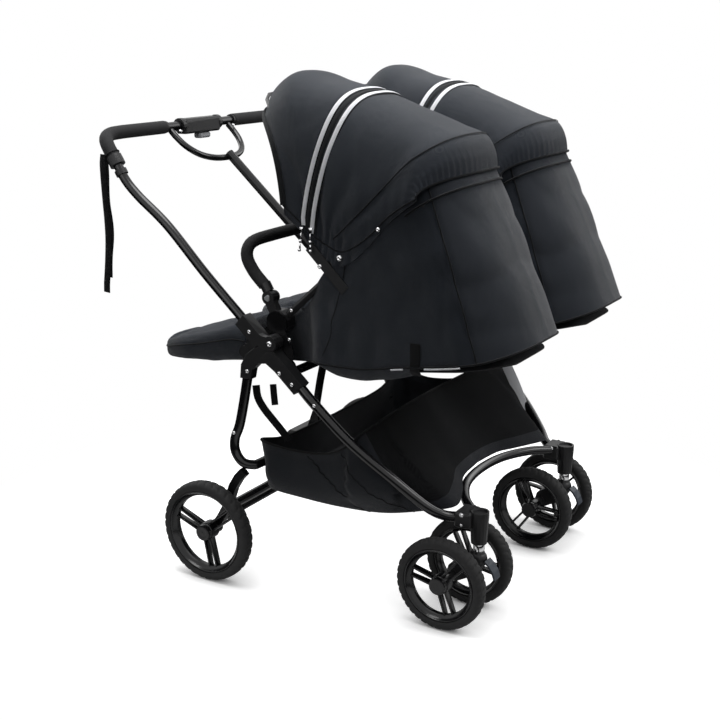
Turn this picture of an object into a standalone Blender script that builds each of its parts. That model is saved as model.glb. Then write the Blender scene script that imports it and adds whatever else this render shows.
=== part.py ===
"""A side-by-side twin stroller with two lie-flat seats, in metres.

The stroller drives towards -Y, its right side is -X and its left side is +X.
While it is drawn, Y = 0 is the rear axle; the empty "stroller" then carries
every piece so that the origin is on the floor, under the middle of the whole.
"""
import math

import bmesh
import bpy
from mathutils import Matrix, Vector

for item in list(bpy.data.objects):
    bpy.data.objects.remove(item, do_unlink=True)

# ---------------------------------------------------------------- sizes
GAP = 0.0003                # between pieces that touch
RUN = 0.0005                # between pieces that turn past each other

REAR_RADIUS = 0.113         # rear wheel
REAR_WIDTH = 0.034
REAR_X = 0.355              # middle of a rear wheel
FRONT_RADIUS = 0.097        # caster wheel
FRONT_WIDTH = 0.033
TYRE_DEPTH = 0.019
WHEEL_SIDES = 24            # facets round a wheel, one of them flat on the floor
RIM_DEPTH = 0.013
HUB_RADIUS = 0.018
HUB_CAP = 0.0045            # how far a hub cap stands out of its wheel
AXLE_RADIUS = 0.006

SWIVEL_X = 0.2303           # caster stem
SWIVEL_Y = -0.594
TRAIL = 0.051               # caster axle behind its stem
TWIN = 0.0656               # a caster wheel's middle beside its stem
STEM_RADIUS = 0.0085
HOUSING_RADIUS = 0.0192
HOUSING_LOW = 0.1725
HOUSING_HIGH = 0.2415

FRAME_X = 0.358             # side tubes
TUBE = 0.0105               # radius of the frame tubes
BAR = 0.010                 # radius of the handle bar's tube
BAR_BORE = 0.0113           # corners of the bores that slip over it
GRIP = 0.0145
SLEEVE = 0.0145             # half width of the hinge castings
CASTING = 0.0275            # their thickness along X
FOLD = (-0.186, 0.564)      # handle fold axis, as (y, z)
LEG_PIVOT = (-0.205, 0.495)  # rear leg axis and seat crossbar
CROSSBAR = 0.009
LEG_X = 0.328

SEAT_X = 0.184              # middle of a seat
SEAT_HALF = 0.155           # half of its width
HUB = (-0.185, 0.602)       # seat tilt axis
HUB_DISC = 0.024
REST_PIVOT = (-0.083, 0.521)
BUMPER_PIVOT = (-0.161, 0.649)
BUMPER = 0.0125             # radius of the padded bumper bar
HOOD_PIVOT = (-0.290, 0.735)
BOW = 0.004                 # radius of a hood bow
CLOTH = 0.004               # thickness of the hood's cloth
TUB_WALL = 0.006

# ---------------------------------------------------------------- finishes


def finish(name, colour, roughness, metallic=0.0):
    made = bpy.data.materials.new(name)
    made.use_nodes = True
    shader = made.node_tree.nodes["Principled BSDF"]
    shader.inputs["Base Color"].default_value = (*colour, 1.0)
    shader.inputs["Roughness"].default_value = roughness
    shader.inputs["Metallic"].default_value = metallic
    return made


BLACK_PAINT = finish("black_paint", (0.012, 0.012, 0.013), 0.32)
BLACK_PLASTIC = finish("black_plastic", (0.018, 0.018, 0.019), 0.45)
FOAM = finish("foam", (0.015, 0.015, 0.016), 0.85)
RUBBER = finish("rubber", (0.022, 0.022, 0.022), 0.7)
CLOTH_DARK = finish("cloth_dark", (0.016, 0.019, 0.027), 0.9)
MESH_DARK = finish("mesh_dark", (0.010, 0.011, 0.013), 0.9)
WEBBING = finish("webbing", (0.012, 0.012, 0.012), 0.8)
GREY_PLASTIC = finish("grey_plastic", (0.42, 0.43, 0.45), 0.4)
SLATE_PLASTIC = finish("slate_plastic", (0.05, 0.06, 0.075), 0.4)

STROLLER = bpy.data.objects.new("stroller", None)
bpy.context.scene.collection.objects.link(STROLLER)

# ---------------------------------------------------------------- tools


def place(name, bm, look, smooth=35.0):
    """Turns a bmesh into an object of its own, shaded smooth but for its edges."""
    bmesh.ops.recalc_face_normals(bm, faces=bm.faces)
    mesh = bpy.data.meshes.new(name)
    bm.to_mesh(mesh)
    bm.free()
    mesh.materials.append(look)
    mesh.shade_smooth()
    mesh.set_sharp_from_angle(angle=math.radians(smooth))
    made = bpy.data.objects.new(name, mesh)
    bpy.context.scene.collection.objects.link(made)
    made.parent = STROLLER
    return made


def worked(name, base, look, joined=(), cut=()):
    """A solid with others joined to it and then others cut out of it."""
    made = place(name, base, look)
    tools = []
    for operation, shapes in (("UNION", joined), ("DIFFERENCE", cut)):
        for shape in shapes:
            tool = place(name + "_tool", shape, look)
            step = made.modifiers.new(operation.lower(), "BOOLEAN")
            step.operation = operation
            step.object = tool
            step.use_self = True
            tools.append(tool)
    bpy.context.view_layer.update()
    shaped = bpy.data.meshes.new_from_object(made.evaluated_get(bpy.context.evaluated_depsgraph_get()))
    made.modifiers.clear()
    made.data = shaped
    shaped.name = name
    shaped.shade_smooth()
    shaped.set_sharp_from_angle(angle=math.radians(35.0))
    for tool in tools:
        bpy.data.objects.remove(tool, do_unlink=True)
    return made


def copied(name, source, look, x, y, z, turned_round):
    """Another object with the same mesh, turned half a turn about Z if asked."""
    made = bpy.data.objects.new(name, source.data)
    bpy.context.scene.collection.objects.link(made)
    made.parent = STROLLER
    made.location = (x, y, z)
    made.rotation_euler = (0.0, 0.0, math.pi if turned_round else 0.0)
    return made


def smooth_route(points, step):
    """Points about one step apart on a smooth curve through the given ones."""
    fixed = [Vector(p) for p in points]
    ends = [fixed[0] * 2 - fixed[1]] + fixed + [fixed[-1] * 2 - fixed[-2]]
    result = [fixed[0]]
    for a, b, c, d in zip(ends, ends[1:], ends[2:], ends[3:]):
        count = max(1, round((c - b).length / step))
        for k in range(1, count + 1):
            t = k / count
            result.append(0.5 * (2 * b + (c - a) * t + (2 * a - 5 * b + 4 * c - d) * t * t
                                 + (3 * b - a - 3 * c + d) * t ** 3))
    return result


def rod(points, radius, sides=8, bore=0.0):
    """A round bar, or a pipe where it has a bore, along the points."""
    points = [Vector(p) for p in points]
    bm = bmesh.new()
    along = (points[1] - points[0]).normalized()
    side = along.orthogonal().normalized()
    rings = []
    for k, point in enumerate(points):
        before = points[max(k - 1, 0)]
        after = points[min(k + 1, len(points) - 1)]
        new = (after - before).normalized()
        side = (along.rotation_difference(new) @ side)
        side = (side - new * side.dot(new)).normalized()
        along = new
        other = along.cross(side)
        around = [2 * math.pi * j / sides for j in range(sides)]
        spokes = [side * math.cos(a) + other * math.sin(a) for a in around]
        outer = [bm.verts.new(point + s * radius) for s in spokes]
        inner = [bm.verts.new(point + s * bore) for s in spokes] if bore else []
        rings.append((outer, inner))
    for (outer, inner), (outer_next, inner_next) in zip(rings, rings[1:]):
        for j in range(sides):
            k = (j + 1) % sides
            bm.faces.new((outer[j], outer[k], outer_next[k], outer_next[j]))
            if bore:
                bm.faces.new((inner[k], inner[j], inner_next[j], inner_next[k]))
    for outer, inner in (rings[0], rings[-1]):
        if bore:
            for j in range(sides):
                k = (j + 1) % sides
                bm.faces.new((outer[j], outer[k], inner[k], inner[j]))
        else:
            bm.faces.new(outer)
    return bm


def turned(profile, segments, centre, axis="X"):
    """A profile of (radius, height) turned about an axis; radius 0 closes an end.

    The facets are as far from the axis as the profile says, and one of them
    faces straight down.
    """
    bm = bmesh.new()
    rings = []
    for radius, height in profile:
        if radius == 0:
            rings.append([bm.verts.new((0, 0, height))])
            continue
        corner = radius / math.cos(math.pi / segments)
        angles = [-math.pi / 2 + (j + 0.5) * 2 * math.pi / segments for j in range(segments)]
        rings.append([bm.verts.new((corner * math.cos(a), corner * math.sin(a), height)) for a in angles])
    closed = profile[0][0] > 0
    following = rings[1:] + rings[:1] if closed else rings[1:]
    for ring, after in zip(rings, following):
        for j in range(segments):
            k = (j + 1) % segments
            corners = []
            for vertex in (ring[j % len(ring)], ring[k % len(ring)], after[k % len(after)], after[j % len(after)]):
                if vertex not in corners:
                    corners.append(vertex)
            bm.faces.new(corners)
    if axis == "X":
        bm.transform(Matrix(((0, 0, 1), (1, 0, 0), (0, 1, 0))).to_4x4())
    bm.transform(Matrix.Translation(centre))
    return bm


def disc(radius, x_low, x_high, at, segments=12):
    """A round slab across X at at = (y, z)."""
    low, high = sorted((x_low, x_high))
    return turned([(0, low), (radius, low), (radius, high), (0, high)], segments, (0, at[0], at[1]))


def slab(outline, x_low, x_high):
    """A flat plate across X from an outline of (y, z)."""
    bm = bmesh.new()
    low = [bm.verts.new((x_low, y, z)) for y, z in outline]
    high = [bm.verts.new((x_high, y, z)) for y, z in outline]
    bm.faces.new(low)
    bm.faces.new(high)
    for j in range(len(low)):
        k = (j + 1) % len(low)
        bm.faces.new((low[j], low[k], high[k], high[j]))
    return bm


def block(x_low, x_high, y_low, y_high, z_low, z_high, chamfer=0.0):
    """A box, with its edges cut back by the chamfer."""
    bm = bmesh.new()
    bmesh.ops.create_cube(bm, size=1.0)
    bmesh.ops.scale(bm, verts=bm.verts, vec=(x_high - x_low, y_high - y_low, z_high - z_low))
    middle = ((x_low + x_high) / 2, (y_low + y_high) / 2, (z_low + z_high) / 2)
    bmesh.ops.translate(bm, verts=bm.verts, vec=middle)
    if chamfer:
        bmesh.ops.bevel(bm, geom=list(bm.edges), offset=chamfer, segments=1, affect="EDGES")
    return bm


def strip(points, half_width):
    """The outline of a band of even width along points of (y, z)."""
    sides = ([], [])
    for k, (y, z) in enumerate(points):
        before = points[max(k - 1, 0)]
        after = points[min(k + 1, len(points) - 1)]
        along = Vector((after[0] - before[0], after[1] - before[1])).normalized()
        sides[0].append((y - along.y * half_width, z + along.x * half_width))
        sides[1].append((y + along.y * half_width, z - along.x * half_width))
    return sides[0] + sides[1][::-1]


def loft(loops):
    """A closed solid through loops of equal length, capped at both ends."""
    bm = bmesh.new()
    rows = [[bm.verts.new(p) for p in loop] for loop in loops]
    for row, after in zip(rows, rows[1:]):
        for j in range(len(row)):
            k = (j + 1) % len(row)
            bm.faces.new((row[j], row[k], after[k], after[j]))
    bm.faces.new(rows[0])
    bm.faces.new(rows[-1])
    return bm


def shell_of_grid(grid, thickness):
    """A sheet of even thickness behind a grid of points, whose middle is inside."""
    rows, columns = len(grid), len(grid[0])
    middle = sum((p for row in grid for p in row), Vector()) / (rows * columns)
    bm = bmesh.new()
    outer, inner = [], []
    for i in range(rows):
        outer.append([])
        inner.append([])
        for j in range(columns):
            down = grid[min(i + 1, rows - 1)][j] - grid[max(i - 1, 0)][j]
            across = grid[i][min(j + 1, columns - 1)] - grid[i][max(j - 1, 0)]
            normal = down.cross(across).normalized()
            if normal.dot(grid[i][j] - middle) < 0:
                normal = -normal
            outer[i].append(bm.verts.new(grid[i][j]))
            inner[i].append(bm.verts.new(grid[i][j] - normal * thickness))
    for i in range(rows - 1):
        for j in range(columns - 1):
            bm.faces.new((outer[i][j], outer[i + 1][j], outer[i + 1][j + 1], outer[i][j + 1]))
            bm.faces.new((inner[i][j + 1], inner[i + 1][j + 1], inner[i + 1][j], inner[i][j]))
    border = [(0, j) for j in range(columns)] + [(i, columns - 1) for i in range(1, rows)]
    border += [(rows - 1, j) for j in range(columns - 2, -1, -1)] + [(i, 0) for i in range(rows - 2, 0, -1)]
    for (i, j), (k, l) in zip(border, border[1:] + border[:1]):
        bm.faces.new((outer[i][j], outer[k][l], inner[k][l], inner[i][j]))
    return bm


SIDES = (("right", -1), ("left", 1))


def mirrored(side, points):
    """Points of (x, y, z) given for the left side, moved to the given one."""
    return [(side * x, y, z) for x, y, z in points]


# ---------------------------------------------------------------- wheels


def tyre(name, radius, width):
    """A foam tyre with a flat tread and rounded shoulders."""
    half = width / 2
    inner = radius - TYRE_DEPTH
    profile = [(inner, -half), (radius - 0.007, -half), (radius, -half * 0.62), (radius, half * 0.62),
               (radius - 0.007, half), (inner, half)]
    return place(name, turned(profile, WHEEL_SIDES, (0, 0, 0)), RUBBER, 30)


def rim(name, radius, width):
    """A moulded rim: a deep ring, three pairs of spokes and a bored hub."""
    outer = radius - TYRE_DEPTH - GAP
    inner = outer - RIM_DEPTH
    half = width / 2 - 0.001
    ring = turned([(outer, -half), (outer, half), (inner + 0.004, half), (inner, 0), (inner + 0.004, -half)],
                  WHEEL_SIDES, (0, 0, 0))
    hub = turned([(0, -half), (HUB_RADIUS, -half), (HUB_RADIUS, half - 0.004),
                  (HUB_RADIUS - 0.003, width / 2 + HUB_CAP), (0, width / 2 + HUB_CAP)], 14, (0, 0, 0))
    spokes = []
    for pair in range(3):
        for offset in (-0.0075, 0.0075):
            spoke = block(-0.007, 0.007, offset - 0.0028, offset + 0.0028, HUB_RADIUS * 0.6, inner + 0.005)
            spoke.transform(Matrix.Rotation(pair * 2 * math.pi / 3, 4, "X"))
            spokes.append(spoke)
    bore = disc(AXLE_RADIUS + RUN, -width, 0.006, (0, 0), 10)
    return worked(name, ring, BLACK_PLASTIC, [hub] + spokes, [bore])


def wheels():
    sizes = {"rear": (REAR_RADIUS, REAR_WIDTH), "front": (FRONT_RADIUS, FRONT_WIDTH)}
    for kind, (radius, width) in sizes.items():
        first_tyre = tyre("pattern_tyre", radius, width)
        first_rim = rim("pattern_rim", radius, width)
        spots = []
        for label, side in SIDES:
            if kind == "rear":
                spots.append((label, side * REAR_X, 0.0, side < 0))
            else:
                for which, offset in (("outer", side * TWIN), ("inner", -side * TWIN)):
                    spots.append((which + "_" + label, side * SWIVEL_X + offset, SWIVEL_Y + TRAIL, offset < 0))
        for label, x, y, round_turned in spots:
            copied(kind + "_tyre_" + label, first_tyre, RUBBER, x, y, radius, round_turned)
            copied(kind + "_rim_" + label, first_rim, BLACK_PLASTIC, x, y, radius, round_turned)
        for pattern in (first_tyre, first_rim):
            bpy.data.objects.remove(pattern, do_unlink=True)


# ---------------------------------------------------------------- casters


def casters():
    """Under each front corner a swivelling fork between twin wheels."""
    for label, side in SIDES:
        x = side * SWIVEL_X
        stem = turned([(0, 0.120), (0.011, 0.122), (0.0165, 0.130), (0.0165, 0.142), (0.011, 0.156),
                       (STEM_RADIUS, 0.157), (STEM_RADIUS, 0.215), (0, 0.215)], 12, (x, SWIVEL_Y, 0), "Z")
        axle_y, axle_z = SWIVEL_Y + TRAIL, FRONT_RADIUS
        arm = slab([(SWIVEL_Y - 0.012, 0.128), (SWIVEL_Y - 0.004, 0.108), (axle_y - 0.013, axle_z - 0.012),
                    (axle_y + 0.004, axle_z - 0.014), (axle_y + 0.015, axle_z), (axle_y + 0.010, axle_z + 0.018),
                    (SWIVEL_Y + 0.024, 0.140), (SWIVEL_Y + 0.008, 0.148)], x - 0.014, x + 0.014)
        reach = TWIN - FRONT_WIDTH / 2 + 0.018
        shoulder = TWIN - FRONT_WIDTH / 2 + 0.001 - RUN
        axle = turned([(0, -reach), (AXLE_RADIUS, -reach), (AXLE_RADIUS, -shoulder), (0.010, -shoulder),
                       (0.010, shoulder), (AXLE_RADIUS, shoulder), (AXLE_RADIUS, reach), (0, reach)],
                      12, (x, axle_y, axle_z))
        worked("caster_fork_" + label, stem, BLACK_PLASTIC, [arm, axle])

        lever = slab(strip([(SWIVEL_Y - 0.0185, 0.139), (SWIVEL_Y - 0.028, 0.131), (SWIVEL_Y - 0.037, 0.118),
                            (SWIVEL_Y - 0.042, 0.103)], 0.0022), x - 0.013, x + 0.013)
        place("caster_lock_lever_" + label, lever, SLATE_PLASTIC)


def socket_box(side, spare=0.0):
    """The extent of a housing's block, into which the frame tubes are glued."""
    x = side * SWIVEL_X
    return (x - 0.027 - spare, x + 0.027 + spare, SWIVEL_Y + 0.008 - spare, SWIVEL_Y + 0.046 + spare,
            0.206 - spare, 0.2405 + spare)


def housings():
    """The casting at each front corner: a cup for the caster's stem, and a socket block."""
    for label, side in SIDES:
        x = side * SWIVEL_X
        cup = turned([(0, HOUSING_LOW), (HOUSING_RADIUS - 0.003, HOUSING_LOW), (HOUSING_RADIUS, HOUSING_HIGH - 0.012),
                      (HOUSING_RADIUS, HOUSING_HIGH), (0, HOUSING_HIGH)], 16, (x, SWIVEL_Y, 0), "Z")
        socket = block(*socket_box(side), 0.004)
        bore = turned([(0, HOUSING_LOW - 0.01), (STEM_RADIUS + RUN, HOUSING_LOW - 0.01),
                       (STEM_RADIUS + RUN, 0.216), (0, 0.216)], 12, (x, SWIVEL_Y, 0), "Z")
        recess = turned([(0, HOUSING_HIGH - 0.004), (HOUSING_RADIUS - 0.005, HOUSING_HIGH - 0.004),
                         (HOUSING_RADIUS - 0.003, HOUSING_HIGH + 0.004), (0, HOUSING_HIGH + 0.004)],
                        16, (x, SWIVEL_Y, 0), "Z")
        worked("caster_housing_" + label, cup, BLACK_PLASTIC, [socket], [bore, recess])


# ---------------------------------------------------------------- front frame

SLEEVE_LOW = (-0.2535, 0.4775)      # where the lower side tube leaves its bracket
SLEEVE_HIGH = (-0.178, 0.545)
KNUCKLE_LOW = (-0.160, 0.562)
KNUCKLE_HIGH = (-0.112, 0.605)      # where the handle tube leaves its knuckle
CASTING_LOW = FRAME_X - CASTING / 2
CASTING_HIGH = FRAME_X + CASTING / 2


def front_frame():
    """Two side tubes that run down and in to the casters, and the arch between them."""
    for label, side in SIDES:
        route = [(FRAME_X, SLEEVE_LOW[0] - 0.0009, SLEEVE_LOW[1] - 0.0009), (0.356, -0.284, 0.448), (0.344, -0.358, 0.378),
                 (0.318, -0.445, 0.306), (0.288, -0.503, 0.252), (0.262, -0.530, 0.230), (0.243, -0.552, 0.2245)]
        tube = rod(mirrored(side, smooth_route(route, 0.045)), TUBE, 10)
        worked("front_tube_" + label, tube, BLACK_PAINT, [], [block(*socket_box(side, GAP))])
    half = [(SWIVEL_X - 0.022, -0.566, 0.230), (0.165, -0.530, 0.234), (0.09, -0.497, 0.236)]
    arch = half + [(0, -0.487, 0.237)] + mirrored(-1, half)[::-1]
    sockets = [block(*socket_box(side, GAP)) for label, side in SIDES]
    worked("front_arch_tube", rod(smooth_route(arch, 0.05), BAR, 10), BLACK_PAINT, [], sockets)


def hinge_brackets():
    """The casting on each lower side tube that carries the handle's fold pivot."""
    for label, side in SIDES:
        low, high = sorted((side * CASTING_LOW, side * CASTING_HIGH))
        seam = side * FRAME_X
        body = slab(strip([SLEEVE_LOW, SLEEVE_HIGH], SLEEVE), low, high)
        inner_boss = disc(0.016, side * CASTING_LOW, seam, FOLD)
        clearing = disc(0.016 + RUN, seam - side * RUN, side * (CASTING_HIGH + 0.01), FOLD)
        worked("hinge_bracket_" + label, body, BLACK_PLASTIC, [inner_boss], [clearing])

        sleeve = slab(strip([KNUCKLE_LOW, KNUCKLE_HIGH], SLEEVE), low, high)
        ear = slab(strip([FOLD, (-0.165, 0.566), (-0.150, 0.572)], 0.0125), *sorted((seam, side * CASTING_HIGH)))
        eye = disc(0.0155, seam, side * CASTING_HIGH, FOLD)
        inner_clearing = disc(0.016 + RUN, side * (CASTING_LOW - 0.01), seam + side * RUN, FOLD)
        worked("handle_knuckle_" + label, sleeve, BLACK_PLASTIC, [ear, eye], [inner_clearing])


def crossbar():
    """The rod across the frame on the leg axis, with the plates that hold the seats and the centre strut."""
    end = CASTING_LOW - RUN
    bar = disc(CROSSBAR, -end + 0.001, end - 0.001, LEG_PIVOT, 12)
    joined = []
    for side in (-1, 1):
        for near, far in ((end - 0.0040, end), (0.0225, 0.0285)):
            plate = slab(strip([LEG_PIVOT, (-0.213, 0.545), HUB], 0.012), *sorted((side * (near + 0.0004), side * (far - 0.0004))))
            head = disc(HUB_DISC, side * near, side * far, HUB)
            foot = disc(0.014, side * (near + 0.0002), side * (far - 0.0002), LEG_PIVOT)
            joined += [plate, head, foot]
        joined.append(slab(strip([LEG_PIVOT, FOLD], 0.009), *sorted((side * 0.0118, side * 0.0150))))
        joined.append(disc(0.012, side * 0.0116, side * 0.0152, FOLD))
    joined.append(disc(0.005, -0.013, 0.013, FOLD, 12))
    worked("seat_crossbar", bar, BLACK_PAINT, joined)


BASKET_FLOOR = [(0.0, -0.113, 0.217), (0.20, -0.113, 0.216), (0.285, -0.120, 0.215), (0.293, -0.22, 0.213),
                (0.293, -0.32, 0.213), (0.282, -0.40, 0.222), (0.255, -0.455, 0.238), (0.13, -0.462, 0.243),
                (0.0, -0.462, 0.244)]
BASKET_RIM = [(0.0, -0.1082, 0.315), (0.20, -0.1082, 0.315), (0.300, -0.112, 0.326), (0.306, -0.22, 0.322),
              (0.308, -0.31, 0.338), (0.310, -0.352, 0.356), (0.296, -0.372, 0.385), (0.15, -0.362, 0.392),
              (0.0, -0.360, 0.394)]


def whole_loop(half):
    """A closed loop from a half that starts and ends on the middle plane."""
    return [Vector(p) for p in half] + [Vector((-x, y, z)) for x, y, z in half[-2:0:-1]]


def inset(loop, amount, lift):
    """The loop drawn in towards its middle by the amount, and lifted."""
    middle = sum(loop, Vector()) / len(loop)
    result = []
    for point in loop:
        away = Vector((point.x - middle.x, point.y - middle.y, 0))
        result.append(point - away.normalized() * amount + Vector((0, 0, lift)))
    return result


def basket():
    """The fabric tray under the seats, whose front wall climbs between the side tubes."""
    floor, top = whole_loop(BASKET_FLOOR), whole_loop(BASKET_RIM)
    belly = [f.lerp(t, 0.45) + Vector((0.0, 0.0018 if t.y > -0.110 else 0.0, -0.004)) for f, t in zip(floor, top)]
    wall = 0.005
    loops = [inset(floor, 0.02, -0.004), floor, belly, top]
    loops += [inset(top, wall, 0), inset(belly, wall, 0), inset(floor, wall, wall), inset(floor, 0.02 + wall, wall - 0.004)]
    place("basket", loft(loops), MESH_DARK)


# ---------------------------------------------------------------- handle


HANDLE_HALF = [(FRAME_X, KNUCKLE_HIGH[0] + GAP, KNUCKLE_HIGH[1] + GAP), (FRAME_X, -0.020, 0.688),
               (FRAME_X, 0.074, 0.779), (FRAME_X, 0.149, 0.835), (FRAME_X, 0.184, 0.868), (0.357, 0.208, 0.905),
               (0.351, 0.233, 0.933), (0.335, 0.252, 0.948), (0.308, 0.263, 0.9545), (0.27, 0.267, 0.956)]
BAR_Y, BAR_Z = 0.268, 0.956
LOOP_X = 0.1078


def handle():
    """One bent tube from knuckle to knuckle, its grips, the loop under its middle and the centre strut."""
    left_half = smooth_route(HANDLE_HALF, 0.034)
    whole = left_half + smooth_route([HANDLE_HALF[-1], (0, BAR_Y, BAR_Z), mirrored(-1, HANDLE_HALF)[-1]], 0.09)[1:-1]
    whole += [Vector((-p.x, p.y, p.z)) for p in left_half[::-1]]
    place("handle_tube", rod(whole, BAR, 8), BLACK_PAINT)

    grip_start = next(k for k, p in enumerate(left_half) if p.z > 0.885)
    grip_route = left_half[grip_start:] + [Vector((0.20, BAR_Y, BAR_Z)), Vector((0.128, BAR_Y, BAR_Z))]
    for label, side in SIDES:
        route = [Vector((side * p.x, p.y, p.z)) for p in grip_route]
        cover = rod(route, GRIP, 10, BAR_BORE)
        collar = rod([route[0], route[0].lerp(route[1], 0.7)], GRIP + 0.0022, 10, BAR_BORE - 0.0002)
        worked("handle_grip_" + label, cover, FOAM, [collar])

    down = Vector((0, -0.018, -0.011)).normalized() * (BAR + 0.0006)
    half = [(LOOP_X, BAR_Y + down.y, BAR_Z + down.z), (0.107, 0.244, 0.941), (0.090, 0.219, 0.922),
            (0.052, 0.196, 0.906)]
    place("handle_loop", rod(smooth_route(half + [(0, 0.188, 0.900)] + mirrored(-1, half)[::-1], 0.035), 0.009, 8),
          BLACK_PAINT)

    top = Vector((0, 0.1815, 0.8915))
    eye = Vector((0, *FOLD))
    slope = (top - eye).normalized()
    tube = rod([eye + slope * 0.026, top], TUBE, 10)
    fork = slab(strip([FOLD, tuple((eye + slope * 0.04).yz)], 0.010), -0.0105, 0.0105)
    ring = disc(0.0115, -0.0112, 0.0112, FOLD)
    bore = disc(0.005 + RUN, -0.02, 0.02, FOLD, 12)
    worked("centre_strut", tube, BLACK_PAINT, [fork, ring], [bore])


LOCK_X = (-0.068, 0.066)


def fold_lock():
    """The release box clamped round the handle bar, with its sliding catch, and the wrist strap."""
    box = block(*LOCK_X, BAR_Y - 0.0150, BAR_Y + 0.0150, BAR_Z - 0.020, BAR_Z + 0.0145, 0.004)
    collars = [disc(0.0165, x - 0.006, x + 0.006, (BAR_Y, BAR_Z), 16) for x in LOCK_X]
    bore = disc(BAR + 0.0004, LOCK_X[0] - 0.02, LOCK_X[1] + 0.02, (BAR_Y, BAR_Z), 12)
    worked("fold_lock_box", box, BLACK_PLASTIC, collars, [bore])
    catch = block(-0.010, 0.034, BAR_Y - 0.0105, BAR_Y + 0.0105, BAR_Z - 0.034, BAR_Z - 0.020 - GAP, 0.004)
    place("fold_release_button", catch, GREY_PLASTIC)


def wrist_strap():
    """A webbing loop round the right collar of the handle, hanging straight down."""
    left_half = smooth_route(HANDLE_HALF, 0.034)
    start = next(k for k, p in enumerate(left_half) if p.z > 0.885)
    at, following = left_half[start - 1], left_half[start]
    at, following = Vector((-at.x, at.y, at.z)), Vector((-following.x, following.y, following.z))
    slope = (following - at).normalized()
    top = following - slope * 0.003
    ring = rod([top - slope * 0.022, top], 0.0125, 10, BAR_BORE)
    x = -FRAME_X - 0.0115
    band = block(x - 0.0016, x + 0.0006, top.y - 0.016, top.y + 0.009, 0.622, top.z - 0.004)
    worked("wrist_strap", ring, WEBBING, [band])


# ---------------------------------------------------------------- rear frame


def rear_frame():
    """The bent leg tube with its top castings, the middle leg, the trailing arms with the axle, and the brake."""
    half = [(LEG_X, -0.0975, 0.4670), (LEG_X, -0.087, 0.415), (LEG_X, -0.074, 0.361), (LEG_X, -0.061, 0.329),
            (LEG_X, -0.061, 0.300), (0.325, -0.077, 0.277), (0.310, -0.092, 0.269), (0.285, -0.098, 0.268)]
    side_half = smooth_route(half, 0.035)
    whole = side_half + [Vector((0, -0.098, 0.268))] + [Vector((-p.x, p.y, p.z)) for p in side_half[::-1]]
    place("rear_leg_tube", rod(whole, TUBE, 10), BLACK_PAINT)

    outline = [(-0.086, 0.4700), (-0.089, 0.500), (-0.103, 0.524), (-0.130, 0.545), (-0.160, 0.552), (-0.186, 0.541),
               (-0.213, 0.514), (-0.221, 0.496), (-0.213, 0.482), (-0.198, 0.480), (-0.172, 0.497), (-0.152, 0.510),
               (-0.133, 0.507), (-0.118, 0.492), (-0.113, 0.4700)]
    for label, side in SIDES:
        plate = slab(outline, *sorted((side * (LEG_X - TUBE), side * (LEG_X + TUBE))))
        bore = disc(CROSSBAR + RUN, 0, side, LEG_PIVOT, 12)
        worked("leg_shoulder_" + label, plate, BLACK_PLASTIC, [], [bore])

    ring = disc(0.016, -0.0110, 0.0110, LEG_PIVOT)
    route = [(0, -0.195, 0.498), (0, -0.158, 0.512), (0, -0.118, 0.500), (0, -0.086, 0.452), (0, -0.066, 0.373),
             (0, -0.056, 0.318), (0, -0.064, 0.289), (0, -0.0875, 0.2715)]
    leg = rod(smooth_route(route, 0.045), 0.0095, 8)
    lug = slab([(-0.066, 0.305), (-0.050, 0.300), (-0.034, 0.257), (-0.036, 0.238), (-0.052, 0.238), (-0.064, 0.262)],
               -0.0095, 0.0095)
    pin = disc(0.005, -0.045, 0.045, BRAKE_PIVOT, 8)
    bore = disc(CROSSBAR + RUN, -1, 1, LEG_PIVOT, 12)
    worked("centre_leg", leg, BLACK_PAINT, [ring, lug, pin], [bore])

    pedal = block(-0.052, 0.052, BRAKE_PIVOT[0] - 0.010, BRAKE_PIVOT[0] + 0.040, 0.238, 0.256, 0.005)
    slot = block(-0.0105, 0.0105, -0.2, BRAKE_PIVOT[0] + 0.014, 0.2, 0.3)
    pin_bore = disc(0.005 + RUN, -1, 1, BRAKE_PIVOT, 8)
    worked("brake_pedal", pedal, BLACK_PLASTIC, [], [slot, pin_bore])

    reach = REAR_X - REAR_WIDTH / 2 + 0.020
    tube_high = disc(0.0095, -LEG_X, LEG_X, (-0.036, 0.166), 12)
    joined = [disc(0.0075, -LEG_X, LEG_X, (-0.014, 0.132), 12)]
    arm_line = [(-0.0850, 0.2588), (-0.070, 0.243), (-0.055, 0.219), (-0.045, 0.192), (-0.034, 0.163),
                (-0.018, 0.136), (0.0, REAR_RADIUS)]
    for side in (-1, 1):
        joined.append(slab(strip(arm_line, 0.0095), *sorted((side * (LEG_X - 0.007), side * (LEG_X + 0.0085)))))
        ends = [side * x for x in (LEG_X - 0.0075, LEG_X + 0.0095, reach)]
        joined.append(turned([(0, ends[0]), (0.015, ends[0]), (0.015, ends[1]), (AXLE_RADIUS, ends[1]),
                              (AXLE_RADIUS, ends[2]), (0, ends[2])], 12, (0, 0, REAR_RADIUS)))
    worked("rear_axle", tube_high, BLACK_PAINT, joined)


BRAKE_PIVOT = (-0.043, 0.247)

# ---------------------------------------------------------------- seats

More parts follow.
